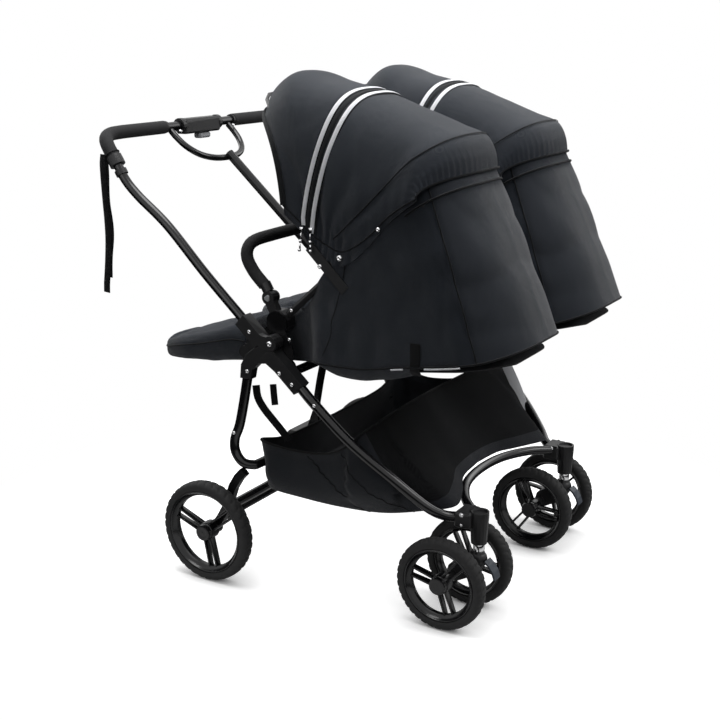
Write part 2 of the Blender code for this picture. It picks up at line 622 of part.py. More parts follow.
# The hood's three guide lines, from its front rim to its lower edge at the head: (y, z) of the lower edge at
# the side, of the shoulder that pulls the side up, and of the crown in the middle.
HOOD_EDGE = [(-0.235, 0.800), (-0.242, 0.790), (-0.255, 0.7805), (-0.275, 0.7728), (-0.300, 0.762), (-0.335, 0.742),
             (-0.390, 0.785), (-0.450, 0.832), (-0.505, 0.872), (-0.538, 0.888)]
HOOD_SHOULDER = [(-0.205, 1.000), (-0.210, 1.020), (-0.230, 1.035), (-0.262, 1.035), (-0.305, 1.020), (-0.385, 1.005),
                 (-0.465, 0.988), (-0.535, 0.975), (-0.566, 0.945), (-0.566, 0.898)]
HOOD_CROWN = [(-0.064, 1.020), (-0.092, 1.069), (-0.150, 1.100), (-0.228, 1.090), (-0.329, 1.065), (-0.415, 1.040),
              (-0.494, 1.010), (-0.553, 0.990), (-0.582, 0.955), (-0.578, 0.902)]
BOW_STATIONS = {"front": 1.0, "middle": 4.0}
ROUNDNESS = 2.6


def guide(line, t):
    """The point at t stations along a smooth line."""
    k = min(int(t), len(line) - 2)
    points = [Vector(line[max(0, min(len(line) - 1, k + j))]) for j in (-1, 0, 1, 2)]
    a, b, c, d = points
    u = t - k
    return 0.5 * (2 * b + (c - a) * u + (2 * a - 5 * b + 4 * c - d) * u * u + (3 * b - a - 3 * c + d) * u ** 3)


def hood_point(t, turn, inside=0.0):
    """A point of the hood: turn runs from 0, one lower edge, over the crown at a quarter, to half a turn."""
    rise = max(0.0, math.sin(turn)) ** (2 / ROUNDNESS)
    spread = math.copysign(abs(math.cos(turn)) ** (2 / ROUNDNESS), math.cos(turn))
    drop = Vector((0, inside))
    edge, shoulder, crown = guide(HOOD_EDGE, t), guide(HOOD_SHOULDER, t) - drop, guide(HOOD_CROWN, t) - drop
    flat = edge * (1 - rise) ** 2 + shoulder * 2 * rise * (1 - rise) + crown * rise * rise
    return Vector(((SEAT_HALF - inside) * spread, flat.x, flat.y))


def shifted(points, x):
    return [Vector((p[0] + x, p[1], p[2])) for p in points]


TUB_FLOOR = [(0, -0.114, 0.508), (0.105, -0.114, 0.508), (0.115, -0.16, 0.510), (0.117, -0.238, 0.516),
             (0.140, -0.305, 0.524), (0.146, -0.38, 0.527), (0.148, -0.46, 0.544), (0.150, -0.56, 0.561),
             (0.149, -0.632, 0.576), (0.112, -0.682, 0.592), (0.058, -0.704, 0.602), (0, -0.711, 0.606)]
TUB_RIM = [(0, -0.112, 0.548), (0.112, -0.112, 0.552), (0.119, -0.17, 0.585), (0.120, -0.238, 0.636),
           (0.144, -0.300, 0.6926), (0.147, -0.38, 0.7584), (0.147, -0.450, 0.8131), (0.146, -0.498, 0.8444),
           (0.130, -0.530, 0.856), (0.080, -0.550, 0.862), (0.038, -0.556, 0.864), (0, -0.558, 0.865)]
TUB_BELLY = -0.020          # how far the floor sags below its seam


def tub(label, x):
    """The fabric tub in which the child lies: floor, sides and the head panel, hung from the seat frame."""
    floor, top = whole_loop(TUB_FLOOR), whole_loop(TUB_RIM)
    low = [f.lerp(t, 0.33) + Vector((0, -0.004 if f.y < -0.6 else 0, 0)) for f, t in zip(floor, top)]
    high = [f.lerp(t, 0.70) + Vector((0, -0.006 if f.y < -0.6 else 0, 0)) for f, t in zip(floor, top)]
    belly = inset(floor, 0.022, 0)
    for point in belly:
        point.z += TUB_BELLY * max(0.0, 1 - abs(point.y + 0.36) / 0.13)
    loops = [belly, floor, low, high, top, inset(top, TUB_WALL, 0), inset(high, TUB_WALL, 0), inset(low, TUB_WALL, 0),
             inset(floor, TUB_WALL, 0.004), inset(belly, TUB_WALL, TUB_WALL)]
    place("seat_tub_" + label, loft([shifted(loop, x) for loop in loops]), CLOTH_DARK)


CLIP_HALF = 0.011
FRAME_TUBE = 0.008
FRAME_OFFSET = 0.140        # the seat frame's tube beside the seat's middle


def seat_frame(label, x):
    """The seat's tube frame, its hub castings, the leg rest's arms, the bumper's lugs and the hood's clips."""
    half = [(FRAME_OFFSET, *HUB), (FRAME_OFFSET, -0.306, 0.710), (FRAME_OFFSET, -0.400, 0.787),
            (FRAME_OFFSET, -0.465, 0.836), (0.134, -0.503, 0.858), (0.105, -0.532, 0.870), (0.060, -0.542, 0.874)]
    left_half = smooth_route(half, 0.04)
    whole = left_half + [Vector((-p.x, p.y, p.z)) for p in left_half[::-1]]
    joined, cut = [], []
    for side in (-1, 1):
        def span(near, far):
            return sorted((x + side * near, x + side * far))
        joined.append(disc(HUB_DISC, *span(0.1265, SEAT_HALF), HUB))
        joined.append(slab(strip([HUB, BUMPER_PIVOT], 0.011), *span(0.1405, SEAT_HALF - 0.001)))
        joined.append(disc(0.014, *span(0.1400, SEAT_HALF - 0.0005), BUMPER_PIVOT))
        joined.append(slab(strip([HUB, (-0.125, 0.560), REST_PIVOT], 0.009), *span(0.1270, 0.1330)))
        joined.append(disc(0.013, *span(0.1265, 0.1335), REST_PIVOT))
        joined.append(disc(0.004, *span(0.115, 0.130), REST_PIVOT, 8))
        joined.append(slab(strip([(-0.345, 0.684), (-0.262, 0.764)], CLIP_HALF), *span(0.1480, 0.1545)))
        joined.append(disc(0.0065, *span(FRAME_OFFSET, 0.150), (-0.308, 0.711)))
        joined.append(disc(0.003, *span(0.1305, 0.150), HOOD_PIVOT, 8))
    outward = -1 if x < 0 else 1
    pocket = triangle(0.0072)
    cut.append(slab(pocket, *sorted((x + outward * 0.1505, x + outward * 0.2))))
    worked("seat_frame_" + label, rod(shifted(whole, x), FRAME_TUBE, 8), BLACK_PLASTIC, joined, cut)
    button = slab(triangle(0.0068), *sorted((x + outward * 0.1527, x + outward * 0.1580)))
    place("bumper_button_" + label, button, GREY_PLASTIC)


def triangle(radius):
    """The rounded three-cornered outline of the bumper's release button."""
    outline = []
    for corner in range(3):
        for turn in (-22, 22):
            angle = math.radians(115 + corner * 120 + turn)
            outline.append((BUMPER_PIVOT[0] + radius * math.cos(angle), BUMPER_PIVOT[1] + radius * math.sin(angle)))
    return outline


def bumper(label, x):
    """The padded bar across the seat, on two knuckles beside the frame's lugs."""
    half = [(0.1420, -0.147, 0.6745), (0.1420, -0.131, 0.697), (0.1415, -0.116, 0.725), (0.132, -0.115, 0.745),
            (0.100, -0.118, 0.757), (0.055, -0.120, 0.759)]
    left_half = smooth_route(half, 0.022)
    whole = left_half + [Vector((-p.x, p.y, p.z)) for p in left_half[::-1]]
    joined = []
    for side in (-1, 1):
        low, high = sorted((x + side * 0.1280, x + side * (0.1400 - GAP)))
        joined.append(disc(0.013, low, high, BUMPER_PIVOT))
        joined.append(slab(strip([BUMPER_PIVOT, (-0.145, 0.677)], 0.009), low + 0.0005, high - 0.0005))
    worked("bumper_bar_" + label, rod(shifted(whole, x), BUMPER, 10), FOAM, joined)


REST_LENGTH = [(-0.074, 0.493, 0.571), (-0.055, 0.483, 0.583), (-0.010, 0.476, 0.578), (0.050, 0.471, 0.561),
               (0.110, 0.467, 0.541), (0.160, 0.461, 0.519), (0.192, 0.456, 0.495), (0.207, 0.459, 0.479)]
REST_HALF = 0.118


def leg_rest(label, x):
    """The padded leg rest: crowned on top, drawn in at its sides and sewn into three channels across."""
    around = 12
    stations = []
    for (y0, low0, high0), (y1, low1, high1) in zip(REST_LENGTH, REST_LENGTH[1:]):
        for u in (0.0, 0.5):
            stations.append((y0 + (y1 - y0) * u, low0 + (low1 - low0) * u, high0 + (high1 - high0) * u))
    stations.append(REST_LENGTH[-1])
    loops = []
    for y, low, high in stations:
        along = (y - REST_LENGTH[0][0]) / (REST_LENGTH[-1][0] - REST_LENGTH[0][0])
        narrowing = REST_HALF * (1 - 0.10 * along ** 3)
        seam = 0.006 * max(0.0, math.cos(2 * math.pi * 3 * along)) ** 6
        middle, half_thick = (low + high) / 2, (high - low) / 2
        loop = []
        for j in range(around):
            a = 2 * math.pi * j / around
            c, s = math.cos(a), math.sin(a)
            px = math.copysign(abs(c) ** 0.45, c) * narrowing
            pz = math.copysign(abs(s) ** 0.75, s) * (half_thick - (seam if s > 0.2 and 0.05 < along < 0.95 else 0.0))
            loop.append(Vector((x + px, y, middle + pz)))
        loops.append(loop)
    bosses, bores = [], []
    for side in (-1, 1):
        low, high = sorted((x + side * 0.100, x + side * (0.1265 - GAP)))
        bosses.append(disc(0.015, low, high, REST_PIVOT))
        bores.append(disc(0.004 + RUN, *sorted((x + side * 0.1145, x + side * 0.14)), REST_PIVOT, 8))
    worked("leg_rest_" + label, loft(loops), CLOTH_DARK, bosses, bores)


def hood(label, x):
    """The hood's cloth over two wire bows that turn about the clips."""
    rows, columns = 15, 13
    grid = []
    for i in range(rows):
        t = i * (len(HOOD_CROWN) - 1) / (rows - 1)
        grid.append(shifted([hood_point(t, math.pi * j / (columns - 1)) for j in range(columns)], x))
    place("hood_cloth_" + label, shell_of_grid(grid, CLOTH), CLOTH_DARK, 60)

    for which, inside, near, far in (("front", 0.0224, 0.1405, 0.1475), ("middle", 0.0220, 0.1315, 0.1400 - GAP)):
        t = BOW_STATIONS[which]
        arm = (near + far) / 2
        over = [hood_point(t, math.radians(turn), inside) for turn in (20, 34, 48, 62, 76, 90)]
        start = Vector((arm, *HOOD_PIVOT))
        half = [start, start.lerp(over[0], 0.5) + Vector((0, 0, 0))] + over
        half[1].x = arm
        half = smooth_route(half, 0.10)
        whole = half + [Vector((-p.x, p.y, p.z)) for p in half[-2::-1]]
        eyes, bores = [], []
        for side in (-1, 1):
            eyes.append(disc(0.008, x + side * near, x + side * far, HOOD_PIVOT, 8))
            bores.append(disc(0.003 + RUN, x + side * (near - 0.01), x + side * (far + 0.01), HOOD_PIVOT, 8))
        worked("hood_%s_bow_%s" % (which, label), rod(shifted(whole, x), BOW, 6), BLACK_PLASTIC, eyes, bores)


def seats():
    for label, side in SIDES:
        x = side * SEAT_X
        tub(label, x)
        seat_frame(label, x)
        bumper(label, x)
        leg_rest(label, x)
        hood(label, x)


def centre_on_floor():
    """Moves the whole so that the origin is under the middle of its footprint."""
    bpy.context.view_layer.update()
    corners = [made.matrix_world @ Vector(corner) for made in STROLLER.children for corner in made.bound_box]
    low = min(corner.y for corner in corners)
    high = max(corner.y for corner in corners)
    STROLLER.location.y = -(low + high) / 2
    print("rear axle at y = %.6f" % STROLLER.location.y)


wheels()
casters()
housings()
front_frame()
hinge_brackets()
crossbar()
basket()
handle()
fold_lock()
wrist_strap()
rear_frame()
seats()
centre_on_floor()
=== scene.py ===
"""The looks of a side-by-side twin stroller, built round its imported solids.

Lengths are in metres. Y = 0 is the middle of the stroller, and the rear axle lies REAR_AXLE behind it.
The stroller drives towards -Y, its right side is -X and its left side is +X.
"""
import math

import bmesh
import bpy
from mathutils import Matrix, Vector, noise


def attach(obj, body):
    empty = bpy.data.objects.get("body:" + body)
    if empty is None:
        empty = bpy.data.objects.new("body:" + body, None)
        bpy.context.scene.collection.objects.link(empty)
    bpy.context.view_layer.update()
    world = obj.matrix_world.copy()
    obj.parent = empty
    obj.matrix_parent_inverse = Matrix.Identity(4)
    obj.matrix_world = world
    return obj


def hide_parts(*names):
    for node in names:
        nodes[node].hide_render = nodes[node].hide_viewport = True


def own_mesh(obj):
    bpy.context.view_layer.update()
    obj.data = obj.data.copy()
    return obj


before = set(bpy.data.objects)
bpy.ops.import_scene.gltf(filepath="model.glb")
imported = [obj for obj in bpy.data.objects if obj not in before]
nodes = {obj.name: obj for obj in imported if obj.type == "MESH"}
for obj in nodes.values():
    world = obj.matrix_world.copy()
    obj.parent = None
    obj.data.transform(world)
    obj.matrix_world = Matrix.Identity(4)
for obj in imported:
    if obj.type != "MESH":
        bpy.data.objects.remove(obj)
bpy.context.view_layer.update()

# ---------------------------------------------------------------- camera, light and floor
# A white sweep in a studio. The camera stands at the right front corner, a little above the canopies,
# and the light is a large soft box overhead with a weaker one on each side.

REAR_AXLE = 0.21325
TO_ROW = Vector((0, REAR_AXLE, 0))      # from lengths given from the rear axle to the stroller's own frame
YAW, PITCH = math.radians(30.9673), math.radians(15.641)
sight = Vector((math.cos(PITCH) * math.cos(YAW), math.cos(PITCH) * math.sin(YAW), -math.sin(PITCH)))

camera_data = bpy.data.cameras.new("camera")
camera_data.lens = 1204.66 / 720 * 36
camera_data.sensor_width = 36
camera = bpy.data.objects.new("camera", camera_data)
bpy.context.scene.collection.objects.link(camera)
camera.location = (-2.2791, -1.5431 + REAR_AXLE, 1.1845)
camera.rotation_euler = sight.to_track_quat("-Z", "Y").to_euler()
bpy.context.scene.camera = camera
bpy.context.scene.view_settings.view_transform = "Standard"

for name, place, size, power in (
        ("key_light", (0.5, -2.3, 2.5), 1.7, 34),
        ("top_light", (-0.2, 0.3, 2.9), 1.9, 58),
        ("right_light", (-2.7, 0.2, 1.5), 1.5, 7),
        ("back_light", (0.4, 2.6, 1.8), 1.8, 12),
        ("left_light", (2.6, -0.8, 1.7), 1.8, 14)):
    lamp = bpy.data.lights.new(name, "AREA")
    lamp.shape = "DISK"
    lamp.size = size
    lamp.energy = power
    stand = bpy.data.objects.new(name, lamp)
    stand.location = place
    stand.rotation_euler = (Vector((0, 0, 0.5)) - Vector(place)).to_track_quat("-Z", "Y").to_euler()
    bpy.context.scene.collection.objects.link(stand)

world = bpy.data.worlds.new("studio")
bpy.context.scene.world = world
world.use_nodes = True
background = world.node_tree.nodes["Background"]
background.inputs["Color"].default_value = (1, 1, 1, 1)
rays = world.node_tree.nodes.new("ShaderNodeLightPath")
seen = world.node_tree.nodes.new("ShaderNodeMath")
seen.operation = "MAXIMUM"
level = world.node_tree.nodes.new("ShaderNodeMapRange")
level.inputs["To Min"].default_value = 0.10
level.inputs["To Max"].default_value = 1.0


def linked(tree, pairs):
    """Joins output sockets to input sockets."""
    for source, target in pairs:
        tree.links.new(source, target)


linked(world.node_tree, (
    (rays.outputs["Is Camera Ray"], seen.inputs[0]), (rays.outputs["Is Glossy Ray"], seen.inputs[1]),
    (seen.outputs[0], level.inputs["Value"]), (level.outputs["Result"], background.inputs["Strength"])))

bpy.ops.object.select_all(action="DESELECT")
bpy.ops.mesh.primitive_circle_add(vertices=96, radius=9, fill_type="NGON", location=(0, 0, 0))
floor = bpy.context.object
floor.name = "studio_floor"
paper = bpy.data.materials.new("white_paper")
paper.use_nodes = True
tree = paper.node_tree
shader = tree.nodes["Principled BSDF"]
shader.inputs["Base Color"].default_value = (0.93, 0.93, 0.93, 1)
shader.inputs["Roughness"].default_value = 0.9
shader.inputs["Specular IOR Level"].default_value = 0.1
# The floor glows white for camera rays, and that glow is darkened by ambient occlusion next to the wheels and other
# parts: painted contact shadows.
contact_shadow_glow, white, lit, far_off, path, spot, reach, fade, near, depth, shaded, dim = (
    tree.nodes.new("ShaderNode" + kind) for kind in (
        "Emission", "Emission", "AddShader", "MixShader", "LightPath", "TexCoord", "VectorMath", "MapRange",
        "AmbientOcclusion", "Math", "Math", "Math"))
reach.operation, fade.interpolation_type = "LENGTH", "SMOOTHSTEP"
fade.inputs["From Min"].default_value, fade.inputs["From Max"].default_value = 0.62, 1.05
near.samples = 16
near.inputs["Distance"].default_value = 0.13
depth.operation, shaded.operation, dim.operation = "POWER", "MULTIPLY", "MULTIPLY"
depth.inputs[1].default_value = 1.5
dim.inputs[1].default_value = 0.90
linked(tree, (
    (near.outputs["AO"], depth.inputs[0]), (path.outputs["Is Camera Ray"], shaded.inputs[0]),
    (depth.outputs[0], shaded.inputs[1]), (shaded.outputs[0], dim.inputs[0]),
    (dim.outputs[0], contact_shadow_glow.inputs["Strength"]), (path.outputs["Is Camera Ray"], white.inputs["Strength"]),
    (spot.outputs["Object"], reach.inputs[0]), (reach.outputs["Value"], fade.inputs["Value"]),
    (fade.outputs["Result"], far_off.inputs["Fac"]), (shader.outputs[0], lit.inputs[0]),
    (contact_shadow_glow.outputs[0], lit.inputs[1]), (lit.outputs[0], far_off.inputs[1]), (white.outputs[0], far_off.inputs[2]),
    (far_off.outputs[0], tree.nodes["Material Output"].inputs["Surface"])))
floor.data.materials.append(paper)

# ---------------------------------------------------------------- painted tubes
# Round aluminium tube, bent cold and powder coated in satin black, with the fine orange peel of the coating.
# The side tubes run from the hinge brackets down and in to the casters, the arch joins them in front.



def shader_group(name, inputs):
    """An empty group of shader nodes with these inputs, whose outputs are a colour, a roughness and a normal."""
    group = bpy.data.node_groups.new(name, "ShaderNodeTree")
    outputs = (("Colour", "Color"), ("Roughness", "Float"), ("Normal", "Vector"))
    for way, sockets in (("INPUT", inputs), ("OUTPUT", outputs)):
        for label, kind in sockets:
            group.interface.new_socket(label, in_out=way, socket_type="NodeSocket" + kind)
    return group


grain_group = shader_group("surface_grain", (
    ("Scale", "Float"), ("Depth", "Float"), ("Dark", "Color"), ("Light", "Color"), ("Smooth", "Float"),
    ("Rough", "Float")))
g = grain_group.nodes
gin, gout = g.new("NodeGroupInput"), g.new("NodeGroupOutput")
where = g.new("ShaderNodeTexCoord")
peel, patches = g.new("ShaderNodeTexNoise"), g.new("ShaderNodeTexNoise")
peel.inputs["Detail"].default_value = 4
patches.inputs["Scale"].default_value = 9
patches.inputs["Detail"].default_value = 3
tint, gloss, ridge = g.new("ShaderNodeMix"), g.new("ShaderNodeMapRange"), g.new("ShaderNodeBump")
tint.data_type = "RGBA"
ridge.inputs["Distance"].default_value = 0.001
linked(grain_group, (
    (where.outputs["Object"], peel.inputs["Vector"]), (where.outputs["Object"], patches.inputs["Vector"]),
    (gin.outputs["Scale"], peel.inputs["Scale"]), (patches.outputs["Fac"], tint.inputs["Factor"]),
    (gin.outputs["Dark"], tint.inputs["A"]), (gin.outputs["Light"], tint.inputs["B"]),
    (tint.outputs["Result"], gout.inputs["Colour"]), (patches.outputs["Fac"], gloss.inputs["Value"]),
    (gin.outputs["Smooth"], gloss.inputs["To Min"]), (gin.outputs["Rough"], gloss.inputs["To Max"]),
    (gloss.outputs["Result"], gout.inputs["Roughness"]), (peel.outputs["Fac"], ridge.inputs["Height"]),
    (gin.outputs["Depth"], ridge.inputs["Strength"]), (ridge.outputs["Normal"], gout.inputs["Normal"])))


def finished(name, group, settings, levels):
    """A material whose colour, roughness and normal come from a group."""
    made = bpy.data.materials.new(name)
    made.use_nodes = True
    surface = made.node_tree.nodes["Principled BSDF"]
    pattern = made.node_tree.nodes.new("ShaderNodeGroup")
    pattern.node_tree = group
    for node, values in ((surface, levels), (pattern, settings)):
        for socket, value in values.items():
            node.inputs[socket].default_value = value
    linked(made.node_tree, [(pattern.outputs[socket], surface.inputs[target]) for socket, target in
                            (("Colour", "Base Color"), ("Roughness", "Roughness"), ("Normal", "Normal"))])
    return made


def grained(name, dark, light, smooth, rough, scale, depth, metallic=0.0, gleam=0.24):
    """A solid-coloured finish whose colour and gloss drift a little and whose surface has a fine grain."""
    return finished(name, grain_group, {"Scale": scale, "Depth": depth, "Dark": (*dark, 1), "Light": (*light, 1),
                                        "Smooth": smooth, "Rough": rough},
                    {"Metallic": metallic, "Specular IOR Level": 0.5 if metallic else gleam})


paint = grained("satin_black_paint", (0.005, 0.005, 0.006), (0.009, 0.009, 0.010), 0.16, 0.24, 900, 0.02, gleam=0.42)
plastic = grained("black_moulding", (0.008, 0.008, 0.009), (0.014, 0.014, 0.015), 0.34, 0.46, 1400, 0.16, gleam=0.34)
dark_plastic = grained("rim_plastic", (0.004, 0.004, 0.005), (0.008, 0.008, 0.009), 0.16, 0.26, 1100, 0.05, gleam=0.40)
chrome = grained("chrome", (0.72, 0.72, 0.73), (0.80, 0.80, 0.81), 0.10, 0.20, 500, 0.03, metallic=1.0)
light_plastic = grained("light_grey_moulding", (0.40, 0.41, 0.43), (0.50, 0.51, 0.53), 0.34, 0.44, 900, 0.10)
slate_plastic = grained("slate_moulding", (0.045, 0.055, 0.070), (0.060, 0.070, 0.088), 0.34, 0.44, 900, 0.12)


def between(a, b, c, d, t):
    """The point at t from b to c on the smooth curve through all four."""
    return 0.5 * (2 * b + (c - a) * t + (2 * a - 5 * b + 4 * c - d) * t * t
                  + (3 * b - a - 3 * c + d) * t ** 3)


def smooth_route(points, step, each=0):
    """Points about one step apart on a smooth curve through the given ones, or so many for each stretch."""
    fixed = [Vector(p) for p in points]
    ends = [fixed[0] * 2 - fixed[1]] + fixed + [fixed[-1] * 2 - fixed[-2]]
    result = [fixed[0]]
    for a, b, c, d in zip(ends, ends[1:], ends[2:], ends[3:]):
        count = each or max(1, round((c - b).length / step))
        result += [between(a, b, c, d, k / count) for k in range(1, count + 1)]
    return result


def both_halves(half):
    """A route that ends at the middle plane or short of it, carried on over to the other side."""
    back = [Vector((-p[0], p[1], p[2])) for p in reversed(half)]
    return [Vector(p) for p in half] + (back[1:] if abs(half[-1][0]) < 1e-6 else back)


def only(piece):
    """Selects one object and nothing else."""
    bpy.ops.object.select_all(action="DESELECT")
    piece.select_set(True)
    bpy.context.view_layer.objects.active = piece


def placed(name, data):
    """A new object with this data, linked and selected alone."""
    piece = bpy.data.objects.new(name, data)
    bpy.context.scene.collection.objects.link(piece)
    only(piece)
    return piece


def settle(piece, name, body, look, edge=40, replaces=()):
    """Names a finished mesh, gives it its finish and puts it on its body."""
    piece.name = piece.data.name = name
    piece.data.materials.clear()
    piece.data.materials.append(look)
    only(piece)
    bpy.ops.object.shade_smooth_by_angle(angle=math.radians(edge))
    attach(piece, body)
    if replaces:
        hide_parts(*replaces)
    return piece


def bent_tube(name, points, radius, body, look, replaces=(), step=0.008, around=9, smooth=True):
    """A round tube along a route given from the rear axle."""
    route = smooth_route(points, step) if smooth else [Vector(p) for p in points]
    curve = bpy.data.curves.new(name, "CURVE")
    curve.dimensions = "3D"
    curve.bevel_depth = radius
    curve.bevel_resolution = around
    curve.use_fill_caps = True
    line = curve.splines.new("POLY")
    line.points.add(len(route) - 1)
    for spot, p in zip(line.points, route):
        spot.co = (p.x, p.y + REAR_AXLE, p.z, 1)
    placed(name, curve)
    bpy.ops.object.convert(target="MESH")
    return settle(bpy.context.object, name, body, look, 50, replaces)


for label, side in (("right", -1), ("left", 1)):
    route = [(0.358, -0.2530, 0.4780), (0.356, -0.284, 0.448), (0.344, -0.358, 0.378), (0.318, -0.445, 0.306),
             (0.288, -0.503, 0.252), (0.262, -0.530, 0.230), (0.243, -0.552, 0.2245)]
    bent_tube("side_tube_" + label, [(side * x, y, z) for x, y, z in route], 0.0105, "chassis", paint,
              ["front_tube_" + label])
bent_tube("arch_tube", both_halves([(0.2083, -0.566, 0.230), (0.165, -0.530, 0.234), (0.09, -0.497, 0.236),
                                    (0, -0.487, 0.237)]), 0.010, "chassis", paint, ["front_arch_tube"])
handle_half = [(0.358, -0.1117, 0.6053), (0.358, -0.020, 0.688), (0.358, 0.074, 0.779), (0.358, 0.149, 0.835),
               (0.358, 0.184, 0.868), (0.357, 0.208, 0.905), (0.351, 0.233, 0.933), (0.335, 0.252, 0.948),
               (0.308, 0.263, 0.9545), (0.27, 0.267, 0.956)]
bent_tube("handle_bow", both_halves(handle_half + [(0.12, 0.268, 0.956), (0, 0.268, 0.956)]), 0.010, "handle",
          paint, ["handle_tube"])
leg_half = [(0.328, -0.0978, 0.4685), (0.328, -0.087, 0.415), (0.328, -0.074, 0.361), (0.328, -0.061, 0.329),
            (0.328, -0.061, 0.300), (0.325, -0.077, 0.277), (0.310, -0.092, 0.269), (0.285, -0.098, 0.268)]
bent_tube("leg_tube", both_halves(leg_half + [(0.14, -0.098, 0.268), (0, -0.098, 0.268)]), 0.0105, "rear_legs",
          paint, ["rear_leg_tube"])

# ---------------------------------------------------------------- castings and the tubes that keep their solids
# Glass-filled nylon castings on the tube ends, and the welded crossbar, axle and struts. Each is the solid itself,
# with its corners broken as the mould or the weld leaves them.

paired = [("hinge_bracket", plastic, 0.0022), ("handle_knuckle", plastic, 0.0022), ("leg_shoulder", plastic, 0.0030),
          ("caster_housing", plastic, 0.0012), ("caster_fork", plastic, 0.0012),
          ("caster_lock_lever", slate_plastic, 0.0008), ("seat_frame", plastic, 0.0012),
          ("hood_front_bow", plastic, 0.0), ("hood_middle_bow", plastic, 0.0), ("bumper_button", light_plastic, 0.0008)]
single = [("seat_crossbar", paint, 0.0010), ("rear_axle", paint, 0.0015), ("centre_strut", paint, 0.0015),
          ("centre_leg", paint, 0.0015), ("fold_lock_box", plastic, 0.0012),
          ("fold_release_button", light_plastic, 0.0012), ("brake_pedal", plastic, 0.0020)]
paired = [("%s_%s" % (stem, s), look, width) for stem, look, width in paired for s in ("left", "right")]
for node, look, width in paired + single:
    solid = nodes[node]
    solid.data.materials.clear()
    solid.data.materials.append(look)
    weld = solid.modifiers.new("weld", "WELD")
    weld.merge_threshold = 0.00001
    if width:
        bevel = solid.modifiers.new("broken_edges", "BEVEL")
        bevel.width = width
        bevel.segments = 2
        bevel.limit_method = "ANGLE"
        bevel.angle_limit = math.radians(38)

# ---------------------------------------------------------------- rivets
# Bright zinc-plated rivets hold every casting to its tube: a low domed head with a dimple, on a thin washer.



def cylinder(sides, radius, depth, place, across=False):
    """A cylinder along Z, or along X, that the next steps work on."""
    bpy.ops.object.select_all(action="DESELECT")
    bpy.ops.mesh.primitive_cylinder_add(vertices=sides, radius=radius, depth=depth, location=place,
                                        rotation=(0, math.pi / 2 if across else 0, 0))
    bpy.ops.object.transform_apply(location=True, rotation=True, scale=True)
    return bpy.context.object


def inset_end(piece, facing, steps):
    """Insets the faces of a piece that look along a direction, step by step."""
    bpy.ops.object.mode_set(mode="EDIT")
    bpy.ops.mesh.select_all(action="DESELECT")
    bpy.ops.object.mode_set(mode="OBJECT")
    for face in piece.data.polygons:
        face.select = face.normal.dot(Vector(facing)) > 0.9
    bpy.ops.object.mode_set(mode="EDIT")
    bpy.ops.mesh.select_mode(type="FACE")
    for inward, up in steps:
        bpy.ops.mesh.inset(thickness=inward, depth=up)
    bpy.ops.object.mode_set(mode="OBJECT")


rivet_model = cylinder(20, 0.0052, 0.0008, (0, 0, 0))
inset_end(rivet_model, (0, 0, 1),
          ((0.0008, 0.0), (0.0002, 0.0010), (0.0012, 0.0006), (0.0010, 0.0001), (0.0006, -0.0005)))
rivet_mesh = rivet_model.data.copy()
bpy.data.objects.remove(rivet_model, do_unlink=True)


def set_rivets(name, body, spots):
    """One object of rivets, each at (x, y, z) facing along a direction, at a scale."""
    whole = bmesh.new()
    for place, facing, scale in spots:
        one = rivet_mesh.copy()
        turn = Vector(facing).to_track_quat("Z", "Y").to_matrix().to_4x4()
        place = Vector(place) + TO_ROW
        one.transform(Matrix.Translation(place) @ turn @ Matrix.Scale(scale, 4))
        whole.from_mesh(one)
        bpy.data.meshes.remove(one)
    mesh = bpy.data.meshes.new(name)
    whole.to_mesh(mesh)
    whole.free()
    return settle(placed(name, mesh), name, body, chrome, 60)


SEAT_X = 0.184                          # middle of a seat
for label, side in (("right", -1), ("left", 1)):
    out, inn = (side, 0, 0), (-side, 0, 0)
    set_rivets("frame_rivets_" + label, "chassis", [
        ((side * 0.3719, -0.209, 0.506), out, 0.9), ((side * 0.3719, -0.239, 0.487), out, 0.9),
        ((side * 0.3662, -0.288, 0.4496), out, 0.85), ((side * 0.3439, -0.216, 0.571), out, 0.8),
        ((side * 0.2573, -0.566, 0.236), out, 0.85), ((side * 0.2573, -0.566, 0.214), out, 0.6),
        ((side * 0.2034, -0.570, 0.236), inn, 0.8)])
    set_rivets("handle_rivets_" + label, "handle", [
        ((side * 0.3719, -0.186, 0.564), out, 1.25), ((side * 0.3719, -0.137, 0.583), out, 0.9),
        ((side * 0.100, 0.2415, 0.9475), (0, -0.55, 0.83), 0.8)])
    set_rivets("leg_rivets_" + label, "rear_legs", [
        ((side * 0.3386, -0.105, 0.487), out, 0.95), ((side * 0.3386, -0.066, 0.345), out, 0.85),
        ((side * 0.3386, -0.205, 0.497), out, 1.0)])
    x = side * SEAT_X
    for end in (-1, 1):
        face = (end, 0, 0)
        set_rivets("seat_rivets_%s_%s" % (label, "outer" if end == side else "inner"), "seat_" + label, [
            ((x + end * 0.1551, -0.185, 0.602), face, 1.3), ((x + end * 0.1482, -0.214, 0.6285), face, 0.8),
            ((x + end * 0.1546, -0.287, 0.727), face, 0.95)])

# ---------------------------------------------------------------- wheels
# A ring of closed-cell foam rubber with slanting tread grooves sits on a deep moulded rim, whose three pairs of
# spokes meet in a boss with a pressed-on cap. The tyre is softly rounded, and all wheels are alike but for size.

rubber = grained("foam_rubber", (0.020, 0.020, 0.020), (0.030, 0.030, 0.031), 0.62, 0.80, 700, 0.35)


